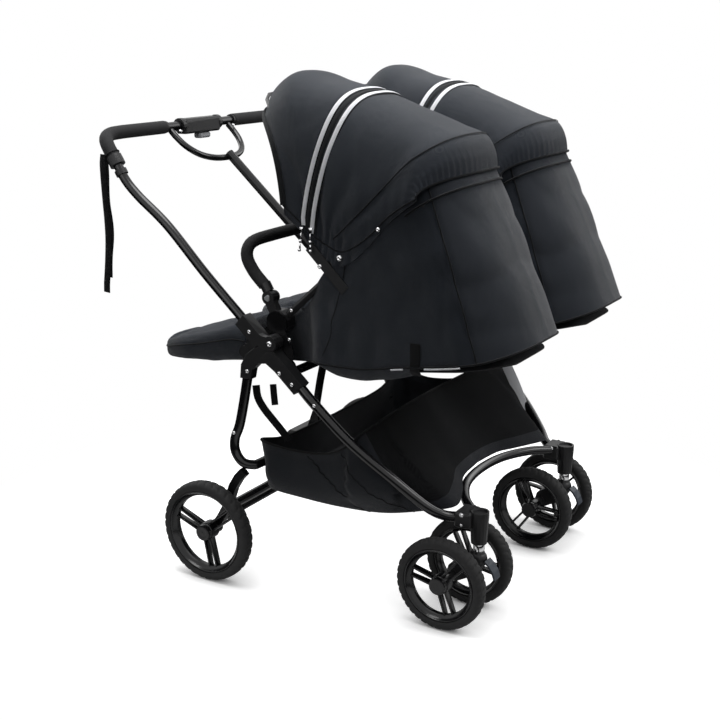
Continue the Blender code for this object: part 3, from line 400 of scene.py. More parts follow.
def spun(profile, steps, name):
    """A closed profile of (radius, height) spun about X by the spin tool."""
    mesh = bpy.data.meshes.new(name)
    mesh.from_pydata([(h, 0, r) for r, h in profile], [(k, (k + 1) % len(profile)) for k in range(len(profile))], [])
    piece = placed(name, mesh)
    bpy.ops.object.mode_set(mode="EDIT")
    bpy.ops.mesh.select_all(action="SELECT")
    bpy.ops.mesh.spin(steps=steps, angle=2 * math.pi, center=(0, 0, 0), axis=(1, 0, 0))
    bpy.ops.mesh.select_all(action="SELECT")
    bpy.ops.mesh.remove_doubles(threshold=0.00002)
    bpy.ops.mesh.normals_make_consistent(inside=False)
    bpy.ops.object.mode_set(mode="OBJECT")
    return piece


def joined(pieces):
    """All pieces as one mesh."""
    bpy.ops.object.select_all(action="DESELECT")
    for piece in pieces:
        piece.select_set(True)
    bpy.context.view_layer.objects.active = pieces[0]
    bpy.ops.object.join()
    return bpy.context.object


def box(size, place):
    """A box that the next steps work on."""
    bpy.ops.object.select_all(action="DESELECT")
    bpy.ops.mesh.primitive_cube_add(size=1, location=place)
    bpy.context.object.scale = size
    bpy.ops.object.transform_apply(location=True, rotation=True, scale=True)
    return bpy.context.object


def rounded(piece, width):
    """Rounds every edge of a piece."""
    bevel = piece.modifiers.new("rounded", "BEVEL")
    bevel.width, bevel.segments = width, 2
    bpy.ops.object.modifier_apply(modifier="rounded")


def wheel_models(radius, width):
    """A tyre and a rim about the origin, outer face towards +X."""
    half, inner = width / 2, radius - 0.019
    tread = [(radius - 0.0006 * (k / 4) ** 2, half * 0.13 * k) for k in range(-4, 5)]
    shoulder = [(radius - 0.0024, half * 0.78), (radius - 0.0062, half * 0.95), (radius - 0.0105, half),
                (radius - 0.0150, half * 0.985), (inner + 0.0006, half * 0.93), (inner, half * 0.86)]
    profile = [(r, -h) for r, h in reversed(shoulder)] + tread + shoulder
    tyre = spun(profile, 324, "tyre_model")
    for vertex in tyre.data.vertices:
        x, y, z = vertex.co
        reach = math.hypot(y, z)
        turn = math.atan2(z, y)
        if reach > radius - 0.0070 and abs(x) > half * 0.10:
            slant = turn * 36 + abs(x) / half * 2.6
            groove = max(0.0, math.cos(slant)) ** 2 * 0.0019 * min(1.0, (reach - radius + 0.0070) / 0.0030)
            vertex.co.y *= (reach - groove) / reach
            vertex.co.z *= (reach - groove) / reach
    outer = inner - 0.0003
    rim = spun([(outer, -half * 0.84), (outer, half * 0.84), (outer - 0.0012, half * 0.93), (outer - 0.0030, half * 0.95),
                (outer - 0.0042, half * 0.86), (outer - 0.0058, half * 0.55), (outer - 0.0120, half * 0.30),
                (outer - 0.0128, 0.0), (outer - 0.0120, -half * 0.30), (outer - 0.0058, -half * 0.55),
                (outer - 0.0042, -half * 0.86), (outer - 0.0024, -half * 0.92)], 96, "rim_model")
    boss = spun([(0.0066, -half + 0.001), (0.0170, -half + 0.001), (0.0200, -half + 0.003), (0.0200, half * 0.45),
                 (0.0194, half * 0.62), (0.0186, half * 0.66), (0.0186, half - 0.001), (0.0174, half + 0.0030),
                 (0.0125, half + 0.0040), (0.0110, half + 0.0036), (0.0030, half + 0.0043), (0.0001, half + 0.0044),
                 (0.0001, half - 0.006), (0.0066, half - 0.006)], 40, "boss_model")
    pieces = [rim, boss]
    for pair in range(3):
        for offset in (-0.0078, 0.0078):
            reach = outer - 0.0100
            spoke = box((width * 0.46, 0.0056, reach - 0.014), (0, offset, (0.014 + reach) / 2))
            for vertex in spoke.data.vertices:
                out_here = vertex.co.z > 0.04
                vertex.co.y += math.copysign(0.0022 if out_here else 0.0, offset)
                if vertex.co.x > 0:
                    vertex.co.x += 0.002 if not out_here else -0.0015
                if vertex.co.x > 0:
                    vertex.co.y = offset + (vertex.co.y - offset) * 0.8
            rounded(spoke, 0.0012)
            spoke.data.transform(Matrix.Rotation(pair * 2 * math.pi / 3, 4, "X"))
            pieces.append(spoke)
    return tyre, joined(pieces)


CASTER_X = 0.2303                       # middle of a pair of front wheels
for kind, radius, width, spots in (
        ("rear", 0.113, 0.034, [("right", -0.355, 0.0, True, "rear_wheel_right"),
                                ("left", 0.355, 0.0, False, "rear_wheel_left")]),
        ("front", 0.097, 0.033, [
            ("%s_%s" % (w, s), g * (CASTER_X + o), -0.543, g * o < 0, "front_wheel_%s_%s" % (w, s))
            for s, g in (("right", -1), ("left", 1)) for w, o in (("outer", 0.0656), ("inner", -0.0656))])):
    models = wheel_models(radius, width)
    for label, x, y, turned, body in spots:
        for model, part, look, material_slot in ((models[0], "tyre", rubber, "tyre"),
                                                 (models[1], "rim", dark_plastic, "black_plastic")):
            copy = bpy.data.objects.new(part, model.data.copy())
            bpy.context.scene.collection.objects.link(copy)
            copy.data.transform(Matrix.Translation((x, y + REAR_AXLE, radius))
                                @ Matrix.Rotation(math.pi if turned else 0, 4, "Z")
                                @ Matrix.Rotation(0.35 * x * 7, 4, "X"))
            settle(copy, "%s_%s_look_%s" % (kind, part, label), body, look, 42,
                   ["%s_%s_%s" % (kind, part, label)])
    for model in models:
        bpy.data.objects.remove(model, do_unlink=True)

# ---------------------------------------------------------------- casters
# Under each housing a bright steel collar shows on the stem, above a ball-shaped nylon knuckle with a lock lever.

KNUCKLE_Z = 0.138
for label, side in (("right", -1), ("left", 1)):
    collar = spun([(0.0087, 0.157), (0.0112, 0.157), (0.0118, 0.159), (0.0118, 0.169), (0.0108, 0.1718),
                   (0.0087, 0.1718)], 32, "collar")
    collar.data.transform(Matrix.Rotation(-math.pi / 2, 4, "Y"))
    collar.data.transform(Matrix.Translation((side * CASTER_X, -0.594 + REAR_AXLE, 0)))
    settle(collar, "stem_collar_" + label, "caster_" + label, chrome, 35)
    bpy.ops.object.select_all(action="DESELECT")
    bpy.ops.mesh.primitive_uv_sphere_add(segments=32, ring_count=18, radius=0.0205,
                                         location=(side * CASTER_X, -0.592 + REAR_AXLE, KNUCKLE_Z))
    knuckle = bpy.context.object
    bpy.ops.object.transform_apply(location=True, rotation=True, scale=True)
    for vertex in knuckle.data.vertices:
        rise = vertex.co.z - KNUCKLE_Z
        if rise > 0.010:
            vertex.co.z = KNUCKLE_Z + 0.010 + (rise - 0.010) * 0.75
        vertex.co.x = side * CASTER_X + (vertex.co.x - side * CASTER_X) * 0.88
    settle(knuckle, "knuckle_" + label, "caster_" + label, plastic, 60)

# ---------------------------------------------------------------- handle
# The bar is slipped into tubes of closed-cell foam that end in moulded collars. A box clamped on its middle holds
# the sliding fold catch, a smaller bow is riveted below it, and a webbing loop hangs from the right collar.

foam = grained("grip_foam", (0.012, 0.012, 0.013), (0.020, 0.020, 0.021), 0.70, 0.88, 1600, 0.45)
route = smooth_route(handle_half, 0.010)
first = next(k for k, p in enumerate(route) if p.z > 0.912)
for label, side in (("right", -1), ("left", 1)):
    along = [Vector((side * p.x, p.y, p.z)) for p in route[first:]]
    along += [Vector((side * x, 0.268, 0.956)) for x in (0.24, 0.20, 0.16, 0.128)]
    bent_tube("foam_grip_" + label, along, 0.0147, "handle", foam, ["handle_grip_" + label])
    low = [Vector((side * p.x, p.y, p.z)) for p in route[first - 2:first + 1]]
    bent_tube("grip_collar_" + label, low, 0.0168, "handle", plastic, smooth=False)
    ring = [Vector((side * p.x, p.y, p.z)) for p in route[first - 4:first - 2]]
    bent_tube("collar_lip_" + label, ring, 0.0132, "handle", plastic, smooth=False)
    bent_tube("grip_end_" + label, [(side * 0.129, 0.268, 0.956), (side * 0.122, 0.268, 0.956)], 0.0138, "handle",
              plastic, smooth=False)

cloth_group = shader_group("woven_cloth", (("Threads", "Float"), ("Weave Depth", "Float"), ("Crease Scale", "Float"),
                                           ("Crease Depth", "Float"), ("Dark", "Color"), ("Light", "Color")))
c = cloth_group.nodes
cin, cout, spot = c.new("NodeGroupInput"), c.new("NodeGroupOutput"), c.new("ShaderNodeTexCoord")
warp, weft, crease, fade = (c.new("ShaderNodeTexWave"), c.new("ShaderNodeTexWave"), c.new("ShaderNodeTexNoise"),
                            c.new("ShaderNodeTexNoise"))
warp.bands_direction, weft.bands_direction = "DIAGONAL", "Z"
for wave in (warp, weft):
    wave.inputs["Distortion"].default_value = 1.2
    wave.inputs["Detail"].default_value = 1
    wave.inputs["Detail Scale"].default_value = 2
crease.inputs["Detail"].default_value = 3
crease.inputs["Distortion"].default_value = 0.8
fade.inputs["Scale"].default_value = 6
fade.inputs["Detail"].default_value = 5
cross, blend_tone, tone = c.new("ShaderNodeMath"), c.new("ShaderNodeMath"), c.new("ShaderNodeMix")
cross.operation, blend_tone.operation, tone.data_type = "MULTIPLY", "MULTIPLY_ADD", "RGBA"
blend_tone.inputs[1].default_value = 0.45
fine, coarse, dull = c.new("ShaderNodeBump"), c.new("ShaderNodeBump"), c.new("ShaderNodeMapRange")
fine.inputs["Distance"].default_value = 0.0006
coarse.inputs["Distance"].default_value = 0.010
dull.inputs["To Min"].default_value, dull.inputs["To Max"].default_value = 0.78, 0.92
linked(cloth_group, (
    (spot.outputs["Object"], warp.inputs["Vector"]), (spot.outputs["Object"], weft.inputs["Vector"]),
    (spot.outputs["Object"], crease.inputs["Vector"]), (spot.outputs["Object"], fade.inputs["Vector"]),
    (cin.outputs["Threads"], warp.inputs["Scale"]), (cin.outputs["Threads"], weft.inputs["Scale"]),
    (cin.outputs["Crease Scale"], crease.inputs["Scale"]), (warp.outputs["Fac"], cross.inputs[0]),
    (weft.outputs["Fac"], cross.inputs[1]), (cross.outputs[0], blend_tone.inputs[0]),
    (fade.outputs["Fac"], blend_tone.inputs[2]), (blend_tone.outputs[0], tone.inputs["Factor"]),
    (cin.outputs["Dark"], tone.inputs["A"]), (cin.outputs["Light"], tone.inputs["B"]),
    (tone.outputs["Result"], cout.inputs["Colour"]), (crease.outputs["Fac"], coarse.inputs["Height"]),
    (cin.outputs["Crease Depth"], coarse.inputs["Strength"]), (coarse.outputs["Normal"], fine.inputs["Normal"]),
    (cross.outputs[0], fine.inputs["Height"]), (cin.outputs["Weave Depth"], fine.inputs["Strength"]),
    (fine.outputs["Normal"], cout.inputs["Normal"]), (fade.outputs["Fac"], dull.inputs["Value"]),
    (dull.outputs["Result"], cout.inputs["Roughness"])))


def woven(name, dark, light, threads, weave, crease_scale, crease_depth, sheen):
    """A woven cloth with its threads, its soft creases and a little sheen."""
    return finished(name, cloth_group, {"Threads": threads, "Weave Depth": weave, "Crease Scale": crease_scale,
                                        "Crease Depth": crease_depth, "Dark": (*dark, 1), "Light": (*light, 1)},
                    {"Sheen Weight": sheen, "Sheen Roughness": 0.5, "Specular IOR Level": 0.06})


webbing = woven("webbing", (0.006, 0.006, 0.007), (0.012, 0.012, 0.013), 420, 0.9, 20, 0.1, 0.1)


def ring_faces(rings, count, capped=True):
    """The faces between rings of points, and over both ends."""
    faces = [(r * count + j, r * count + (j + 1) % count, (r + 1) * count + (j + 1) % count, (r + 1) * count + j)
             for r in range(rings - 1) for j in range(count)]
    if capped:
        faces += [tuple(range(count))[::-1], tuple((rings - 1) * count + j for j in range(count))]
    return faces


def face_out():
    """Turns every face of the selected mesh outwards."""
    bpy.ops.object.mode_set(mode="EDIT")
    bpy.ops.mesh.select_all(action="SELECT")
    bpy.ops.mesh.normals_make_consistent(inside=False)
    bpy.ops.object.mode_set(mode="OBJECT")


def band(name, centre, across, width, thickness, body, look, replaces=(), edge=50):
    """A flat strap along a line of points, whose width lies along the given directions."""
    loops = []
    for k, p in enumerate(centre):
        a = centre[max(k - 1, 0)]
        b = centre[min(k + 1, len(centre) - 1)]
        along = (Vector(b) - Vector(a)).normalized()
        wide = Vector(across[k] if isinstance(across, list) else across).normalized()
        wide = (wide - along * wide.dot(along)).normalized()
        up = along.cross(wide).normalized() * thickness / 2
        w = wide * width / 2
        shift = Vector(p) + TO_ROW
        loops.append([shift - w - up * 0.6, shift - w * 0.9 - up, shift + w * 0.9 - up, shift + w - up * 0.6,
                      shift + w + up * 0.6, shift + w * 0.9 + up, shift - w * 0.9 + up, shift - w + up * 0.6])
    mesh = bpy.data.meshes.new(name)
    mesh.from_pydata([v for loop in loops for v in loop], [], ring_faces(len(loops), 8))
    piece = placed(name, mesh)
    face_out()
    return settle(piece, name, body, look, edge, replaces)


hang = [(-0.3690, 0.2310, 0.918), (-0.3705, 0.2330, 0.900), (-0.3705, 0.2330, 0.870), (-0.3695, 0.2320, 0.82),
        (-0.3690, 0.2305, 0.78), (-0.3690, 0.2305, 0.74), (-0.3700, 0.2330, 0.70), (-0.3705, 0.2370, 0.665),
        (-0.3700, 0.2410, 0.640), (-0.3690, 0.2430, 0.6215)]
strap = smooth_route(hang, 0.008)
band("wrist_webbing", strap, (0, 1, 0), 0.0165, 0.0022, "handle", webbing, ["wrist_strap"])
lap = [Vector((p.x + 0.0022, p.y - 0.0042 - 0.002 * math.sin(k * 0.4), p.z)) for k, p in enumerate(strap[:-4])]
band("wrist_webbing_lap", lap, (0, 1, 0), 0.0165, 0.0018, "handle", webbing)
RING_RADIUS = 0.0155
loop_ring = [Vector((-0.3545, 0.2215, 0.918)) + Vector((math.cos(a) * RING_RADIUS, math.sin(a) * RING_RADIUS * 0.9,
                                                        -math.sin(a) * RING_RADIUS * 0.55))
             for a in [k * 2 * math.pi / 24 for k in range(24)]]
bent_tube("wrist_ring", loop_ring + loop_ring[:1], 0.0022, "handle", webbing, around=3, smooth=False)

loop_half = [(0.1078, 0.2635, 0.9470), (0.1076, 0.2480, 0.9330), (0.1010, 0.2260, 0.9130), (0.0800, 0.2040, 0.8945),
             (0.0450, 0.1900, 0.8845), (0, 0.1860, 0.8820)]
bent_tube("hand_loop", both_halves(loop_half), 0.0072, "handle", paint, ["handle_loop"])

# ---------------------------------------------------------------- straps under the seats
# Two pieces of flat webbing by the right leg: an S-shaped strap and a short tab.

for name, width, line in (
        ("leg_strap", 0.016, ((-0.099, 0.446), (-0.103, 0.420), (-0.118, 0.398), (-0.141, 0.376), (-0.166, 0.353),
                              (-0.181, 0.338))),
        ("leg_tab", 0.014, ((-0.143, 0.455), (-0.1445, 0.435), (-0.147, 0.410)))):
    band(name, smooth_route([(-0.300, y, z) for y, z in line], 0.008), (0.5, -0.85, 0), width, 0.0016, "chassis",
         webbing)

# ---------------------------------------------------------------- bumper bars
# A steel bow in a foam sleeve crosses each seat on two moulded knuckles, with a triangular release button on each.

for label, side in (("right", -1), ("left", 1)):
    half = [(0.1420, -0.1450, 0.6725), (0.1420, -0.1200, 0.697), (0.1415, -0.1035, 0.724), (0.1345, -0.1015, 0.745),
            (0.114, -0.1060, 0.757), (0.055, -0.1120, 0.7610), (0.0, -0.1130, 0.7615)]
    shifted = [Vector((p.x + side * SEAT_X, p.y, p.z)) for p in both_halves([Vector(p) for p in half])]
    bent_tube("bumper_foam_" + label, shifted, 0.0127, "bumper_" + label, foam, ["bumper_bar_" + label],
              around=8)
    for end in (-1, 1):
        which = label + ("_outer" if end == side else "_inner")
        x = side * SEAT_X + end * 0.142
        bent_tube("bumper_sleeve_" + which, [(x, -0.1555, 0.6605), (x, -0.146, 0.6765)], 0.0118, "bumper_" + label,
                  plastic, around=8, smooth=False)
        knuckle = cylinder(40, 0.013, 0.0115, (side * SEAT_X + end * 0.1338, -0.161 + REAR_AXLE, 0.649), across=True)
        rounded(knuckle, 0.0014)
        settle(knuckle, "bumper_knuckle_" + which, "bumper_" + label, plastic, 40)

# ---------------------------------------------------------------- hoods
# Each hood is cut from blue-black twill in three panels over two wire bows. A two-way zip with silver tapes opens it
# across, a piped seam runs from the hinge to the back of the crown, and its lower edge is hemmed and puckered.

twill = woven("hood_twill", (0.0142, 0.0182, 0.0258), (0.0255, 0.0315, 0.0430), 520, 0.8, 9, 0.32, 0.35)
dark_twill = woven("seam_cloth", (0.006, 0.0065, 0.008), (0.011, 0.012, 0.014), 500, 0.5, 20, 0.1, 0.2)
lining = woven("lining", (0.012, 0.013, 0.015), (0.020, 0.021, 0.024), 420, 0.3, 12, 0.2, 0.2)
silver_tape = woven("silver_tape", (0.72, 0.73, 0.76), (0.90, 0.91, 0.94), 700, 0.4, 30, 0.04, 0.2)
hood_edge = [(-0.2037, 0.8221), (-0.2489, 0.7844), (-0.2540, 0.7760), (-0.2750, 0.7570), (-0.302, 0.741),
             (-0.337, 0.7310), (-0.388, 0.767), (-0.4317, 0.8160), (-0.4683, 0.8480), (-0.4985, 0.8700)]
hood_shoulder = [(-0.1958, 0.9931), (-0.2093, 1.0106), (-0.2325, 1.0223), (-0.2630, 1.0204), (-0.3014, 1.0063),
                 (-0.3736, 0.9918), (-0.4320, 0.9774), (-0.4734, 0.9650), (-0.4905, 0.9340), (-0.4895, 0.8920)]
hood_crown = [(-0.0879, 1.0140), (-0.1106, 1.0613), (-0.1635, 1.0942), (-0.2312, 1.0761), (-0.3280, 1.0553),
              (-0.4142, 1.0246), (-0.4890, 0.9965), (-0.5373, 0.9795), (-0.5596, 0.9500), (-0.5680, 0.9150)]


HOOD_MIDDLE = Vector((0, -0.33, 0.86))
HOOD_HALF_WIDTH = 0.155
HOOD_END = len(hood_edge) - 1


def guide(line, t):
    """The point at t stations along a smooth line."""
    k = min(int(t), len(line) - 2)
    return between(*[Vector(line[max(0, min(len(line) - 1, k + j))]) for j in (-1, 0, 1, 2)], t - k)


def hood_point(t, turn):
    """A point of a hood about its own middle: turn goes from one lower edge over the crown to the other."""
    power = 2 / (2.3125 + 0.01226 * t)
    rise = max(0.0, math.sin(turn)) ** power
    spread = math.copysign(abs(math.cos(turn)) ** power, math.cos(turn))
    flat = (guide(hood_edge, t) * (1 - rise) ** 2 + guide(hood_shoulder, t) * 2 * rise * (1 - rise)
            + guide(hood_crown, t) * rise * rise)
    return Vector((HOOD_HALF_WIDTH * spread, flat.x, flat.y))


def hood_wrinkle(p, turn, t):
    """How far the cloth stands in or out at a point: soft folds that fan out from the hinge and lie along the hem."""
    low = 1 - max(0.0, math.sin(turn))
    angle = math.atan2(p.z - 0.76, -(p.y + 0.30))
    reach = math.hypot(p.y + 0.30, p.z - 0.76)
    fan = (abs(math.sin(angle * 7.5 + 1.8 * noise.noise(p * 8))) ** 0.7 - 0.6) * 0.0064
    fan *= math.exp(-reach / 0.15) * min(1.0, low * 3)
    hem = 0.0
    if t > 5.5:
        hem = math.sin(p.y * 260 + p.x * 300) * 0.0011 * max(0.0, low - 0.35) * (t - 5.5) / 3.5
    if t > 7.4:
        hem += math.sin(turn * 62 + 3 * noise.noise(p * 14)) * 0.0013 * (t - 7.4) / 1.6
    broad = noise.noise(p * 7 + Vector((3, 1, 7))) * 0.0066 + noise.noise(Vector((p.x * 16, p.y * 30, p.z * 16))) * 0.0016
    return broad * (0.35 + 0.65 * low) + fan + hem - 0.0012


def thicken(piece, thickness):
    """Gives the selected sheet its thickness, on the inside."""
    solid = piece.modifiers.new("thickness", "SOLIDIFY")
    solid.thickness, solid.offset = thickness, -1
    bpy.ops.object.modifier_apply(modifier="thickness")


def sheet_mesh(name, grid, body, look, thickness, replaces=(), edge=70):
    """A cloth from a grid of points in the row frame, with its thickness inside and a smooth face."""
    rows, columns = len(grid), len(grid[0])
    mesh = bpy.data.meshes.new(name)
    mesh.from_pydata([p for row in grid for p in row], [],
                     [(i * columns + j, i * columns + j + 1, (i + 1) * columns + j + 1, (i + 1) * columns + j)
                      for i in range(rows - 1) for j in range(columns - 1)])
    piece = placed(name, mesh)
    middle = sum((Vector(p) for row in grid for p in row), Vector()) / (rows * columns)
    if sum((f.center - middle).dot(f.normal) * f.area for f in mesh.polygons) < 0:
        mesh.flip_normals()
    thicken(piece, thickness)
    return settle(piece, name, body, look, edge, replaces)


def zip_y(z, front):
    """Where the zip's front or rear tape lies at a height, from the hinge up to the crown."""
    low, mid, high = ((-0.2475, -0.2740, -0.307) if front else (-0.2700, -0.2990, -0.338))
    u = max(0.0, (z - 0.79) / 0.275)
    return low + (mid - low) * min(1.0, u / 0.55) ** 1.4 if u < 0.55 else mid + (high - mid) * ((u - 0.55) / 0.45)


def on_hood(turn, wanted):
    """The station on the hood, at that turn, whose y is the wanted one for its height."""
    low, high = 2.0, 8.8
    for _ in range(28):
        t = (low + high) / 2
        p = hood_point(t, turn)
        if p.y > wanted(p.z):
            low = t
        else:
            high = t
    return (low + high) / 2


def hood_strip(name, body, line, half_width, out, look, x):
    """A tape sewn on the hood along a line of (t, turn), raised a little."""
    centre = [hood_point(t, u) for t, u in line]
    grid = []
    for k, (t, u) in enumerate(line):
        p = centre[k]
        along = (centre[min(k + 1, len(centre) - 1)] - centre[max(k - 1, 0)]).normalized()
        d = 0.02
        down_line = hood_point(t + d, u) - hood_point(t - d, u)
        round_hood = hood_point(t, min(math.pi, u + d)) - hood_point(t, max(0, u - d))
        normal = down_line.cross(round_hood).normalized()
        if normal.dot(p - HOOD_MIDDLE) < 0:
            normal = -normal
        across = normal.cross(along).normalized()
        lift = normal * (out + max(0.0, hood_wrinkle(p, u, t)))
        grid.append([p + across * (s * half_width) + lift - normal * (0.0006 if abs(s) > 0.9 else 0)
                     + Vector((x, REAR_AXLE, 0)) for s in (-1, -0.6, 0, 0.6, 1)])
    return sheet_mesh(name, grid, body, look, 0.0012)


ROWS, TURNS = 100, 96
for label, side in (("right", -1), ("left", 1)):
    x, body = side * SEAT_X, "seat_" + label
    grid = []
    for i in range(ROWS):
        t = i * HOOD_END / (ROWS - 1)
        row = []
        for j in range(TURNS + 1):
            u = math.pi * j / TURNS
            p = hood_point(t, u)
            near = hood_point(t, min(math.pi, u + 0.02)) - hood_point(t, max(0.0, u - 0.02))
            far = hood_point(min(HOOD_END, t + 0.05), u) - hood_point(max(0, t - 0.05), u)
            normal = near.cross(far)
            normal = normal.normalized() if normal.length > 1e-9 else Vector((math.copysign(1, p.x), 0, 0))
            if normal.dot(p - HOOD_MIDDLE) < 0:
                normal = -normal
            row.append(p + normal * hood_wrinkle(p + Vector((x, 0, 0)), u, t) + Vector((x, REAR_AXLE, 0)))
        grid.append(row)
    hood = sheet_mesh("hood_" + label, grid, body, twill, 0.0030, ["hood_cloth_" + label])
    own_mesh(hood)

    spread = [math.pi * (0.012 + 0.976 * k / 120) for k in range(121)]
    tapes = []
    for which, front in (("front", True), ("rear", False)):
        line = [(on_hood(u, lambda z: zip_y(z, front)), u) for u in spread]
        tapes.append(hood_strip("zip_edge_%s_%s" % (which, label), body, line, 0.0074, 0.0008, dark_twill, x))
        tapes.append(hood_strip("zip_tape_%s_%s" % (which, label), body, line, 0.0046, 0.0018, silver_tape, x))
    line = [(on_hood(u, lambda z: (zip_y(z, True) + zip_y(z, False)) / 2), u) for u in spread]
    tapes.append(hood_strip("zip_coil_" + label, body, line, 0.0045, 0.0010, dark_twill, x))

    def seam_y(z):
        u = (z - 0.764) / 0.178
        return -0.294 - 0.184 * max(0.0, u) ** 0.92 if u < 1 else -0.478 - 0.075 * min(1.0, (z - 0.942) / 0.055)
    line = [(on_hood(u, seam_y), u) for u in spread[1:-1]]
    tapes.append(hood_strip("hood_seam_" + label, body, line, 0.0016, 0.0010, dark_twill, x))
    hem = [(t * HOOD_END / 60, 0.035) for t in range(61)]
    tapes.append(hood_strip("hood_hem_right_" + label, body, hem, 0.0017, 0.0012, dark_twill, x))
    far_hem = [(t, math.pi - u) for t, u in hem]
    tapes.append(hood_strip("hood_hem_left_" + label, body, far_hem, 0.0017, 0.0012, dark_twill, x))
    tapes.append(hood_strip("hood_rim_" + label, body, [(0.06, u) for u in spread], 0.0062, 0.0026, dark_twill, x))
    tapes.append(hood_strip("hood_tail_" + label, body, [(8.93, u) for u in spread], 0.0022, 0.0012, dark_twill, x))
    for tape in tapes:
        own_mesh(tape)

    # zip sliders and their beaded pulls, at both lower ends of the zip
    pulls = []
    for end in (-1, 1):
        for n, y0 in enumerate((-0.2475, -0.2690)):
            slider = box((0.004, 0.008, 0.012), (x + end * 0.1575, y0 + REAR_AXLE, 0.796))
            for vertex in slider.data.vertices:
                if vertex.co.z < 0.796:
                    vertex.co.y = (y0 + REAR_AXLE) + (vertex.co.y - y0 - REAR_AXLE) * 0.6
            rounded(slider, 0.0012)
            pulls.append(slider)
            beads = ((0.016, 0.0012, 0.012), (0.026, 0.0030, 0.007), (0.036, 0.0018, 0.010), (0.0435, 0.0032, 0.0055))
            for k, (drop, r, long) in enumerate(beads):
                y = y0 - 0.0015 * n * k + 0.0012 * k + REAR_AXLE
                bead = cylinder(14, r, long, (x + end * (0.1600 + 0.0002 * k), y, 0.800 - drop))
                rounded(bead, r * 0.45)
                pulls.append(bead)
    settle(joined(pulls), "zip_pulls_" + label, body, chrome, 40)
    set_rivets("hood_snaps_" + label, body, [((x + e * 0.1568, -0.333, 0.748), (e, 0, 0), 1.25) for e in (-1, 1)]
               + [((x + e * 0.1570, -0.4190, 0.8110), (e, 0, 0), 0.9) for e in (-1, 1)])

# ---------------------------------------------------------------- seats
# A tub of the same twill hangs inside each seat frame and is carried up outside it to the hood. The head end is one
# smooth panel between piped corner seams, the floor bag bulges below a piped seam, and a mattress lies inside.

head_cloth = woven("head_panel_cloth", (0.0185, 0.0220, 0.0292), (0.0305, 0.0355, 0.0450), 640, 0.45, 6, 0.34, 0.45)
seat_floor = [(0, -0.122, 0.512), (0.100, -0.122, 0.512), (0.114, -0.145, 0.513), (0.117, -0.200, 0.515),
              (0.122, -0.243, 0.521), (0.140, -0.262, 0.526), (0.1505, -0.290, 0.5275), (0.1520, -0.38, 0.531),
              (0.1525, -0.46, 0.546), (0.153, -0.56, 0.562), (0.1515, -0.606, 0.571), (0.138, -0.640, 0.579),
              (0.104, -0.678, 0.592), (0.056, -0.702, 0.602), (0, -0.709, 0.606)]
seat_top = [(0, -0.118, 0.552), (0.105, -0.118, 0.556), (0.116, -0.150, 0.572), (0.119, -0.200, 0.606),
            (0.126, -0.243, 0.643), (0.145, -0.272, 0.686), (0.1510, -0.305, 0.726), (0.1515, -0.345, 0.752),
            (0.1510, -0.415, 0.815), (0.1465, -0.464, 0.862), (0.1385, -0.494, 0.886), (0.122, -0.520, 0.902),
            (0.096, -0.540, 0.912), (0.052, -0.554, 0.918), (0, -0.558, 0.919)]


def round_trip(half):
    """A closed loop whose given half starts and ends on the middle plane."""
    return half + [Vector((-p.x, p.y, p.z)) for p in half[-2:0:-1]]


def close_floor(points, faces, looks, rings):
    """Adds the rings that close a bag below its first ring of points, in its first cloth."""
    count = len(rings[0])
    previous = list(range(count))
    for ring in rings:
        base = len(points)
        points.extend(ring)
        for j in range(count):
            k = (j + 1) % count
            faces.append((previous[j], base + j, base + k, previous[k]))
        previous = list(range(base, base + count))
    faces.append(tuple(previous))
    looks += [0] * (len(faces) - len(looks))


def sewn_bag(name, points, faces, looks, x, thickness, body, cloths, replaces):
    """An open bag of two cloths, where looks says which of them each face is cut from."""
    mesh = bpy.data.meshes.new(name)
    mesh.from_pydata(points, [], faces)
    bag = placed(name, mesh)
    face_out()
    if sum(f.normal.x * (f.center.x - x) * f.area for f in mesh.polygons) < 0:
        mesh.flip_normals()
    thicken(bag, thickness)
    settle(bag, name, body, cloths[0], 70, replaces)
    bag.data.materials.append(cloths[1])
    for n, face in enumerate(bag.data.polygons):
        if n < 2 * len(looks):
            face.material_index = looks[n % len(looks)]
    return bag


def tub_wrinkle(p, v, corner):
    """Vertical folds low on the side panels and slanting soft folds on the head panel."""
    if corner < 0:
        folds = (abs(math.sin(p.y * 62 + 1.6 * noise.noise(p * 6))) ** 0.8 - 0.6) * 0.0046 * (1 - v) ** 1.3
        folds += math.sin((p.y * 0.8 + p.z * 0.55) * 90 + noise.noise(p * 5) * 3) * 0.0012
        slant = abs(math.sin(p.y * 30 - p.z * 12 + 2 * noise.noise(p * 4))) ** 0.7
        folds += (slant - 0.6) * 0.0030 * math.sin(math.pi * v)
    else:
        folds = (abs(math.sin((p.x * 0.5 + p.z * 1.0 + p.y * 0.2) * 21 + noise.noise(p * 5) * 2.4)) ** 0.8 - 0.6) * 0.0034
    return folds + noise.noise(p * 10) * 0.0030 + noise.noise(p * 24) * 0.0009


STRETCH = 7                             # steps between two given points of a loop
floor_loop, top_loop = (round_trip(smooth_route(line, 0, STRETCH)) for line in (seat_floor, seat_top))
count = len(floor_loop)
corner_at = 10 * STRETCH + 4            # where the side panel meets the head panel


def piping(name, line, radius, body, look):
    """A thin sewn cord along points that already lie close together."""
    return bent_tube(name, line, radius, body, look, around=2, smooth=False)


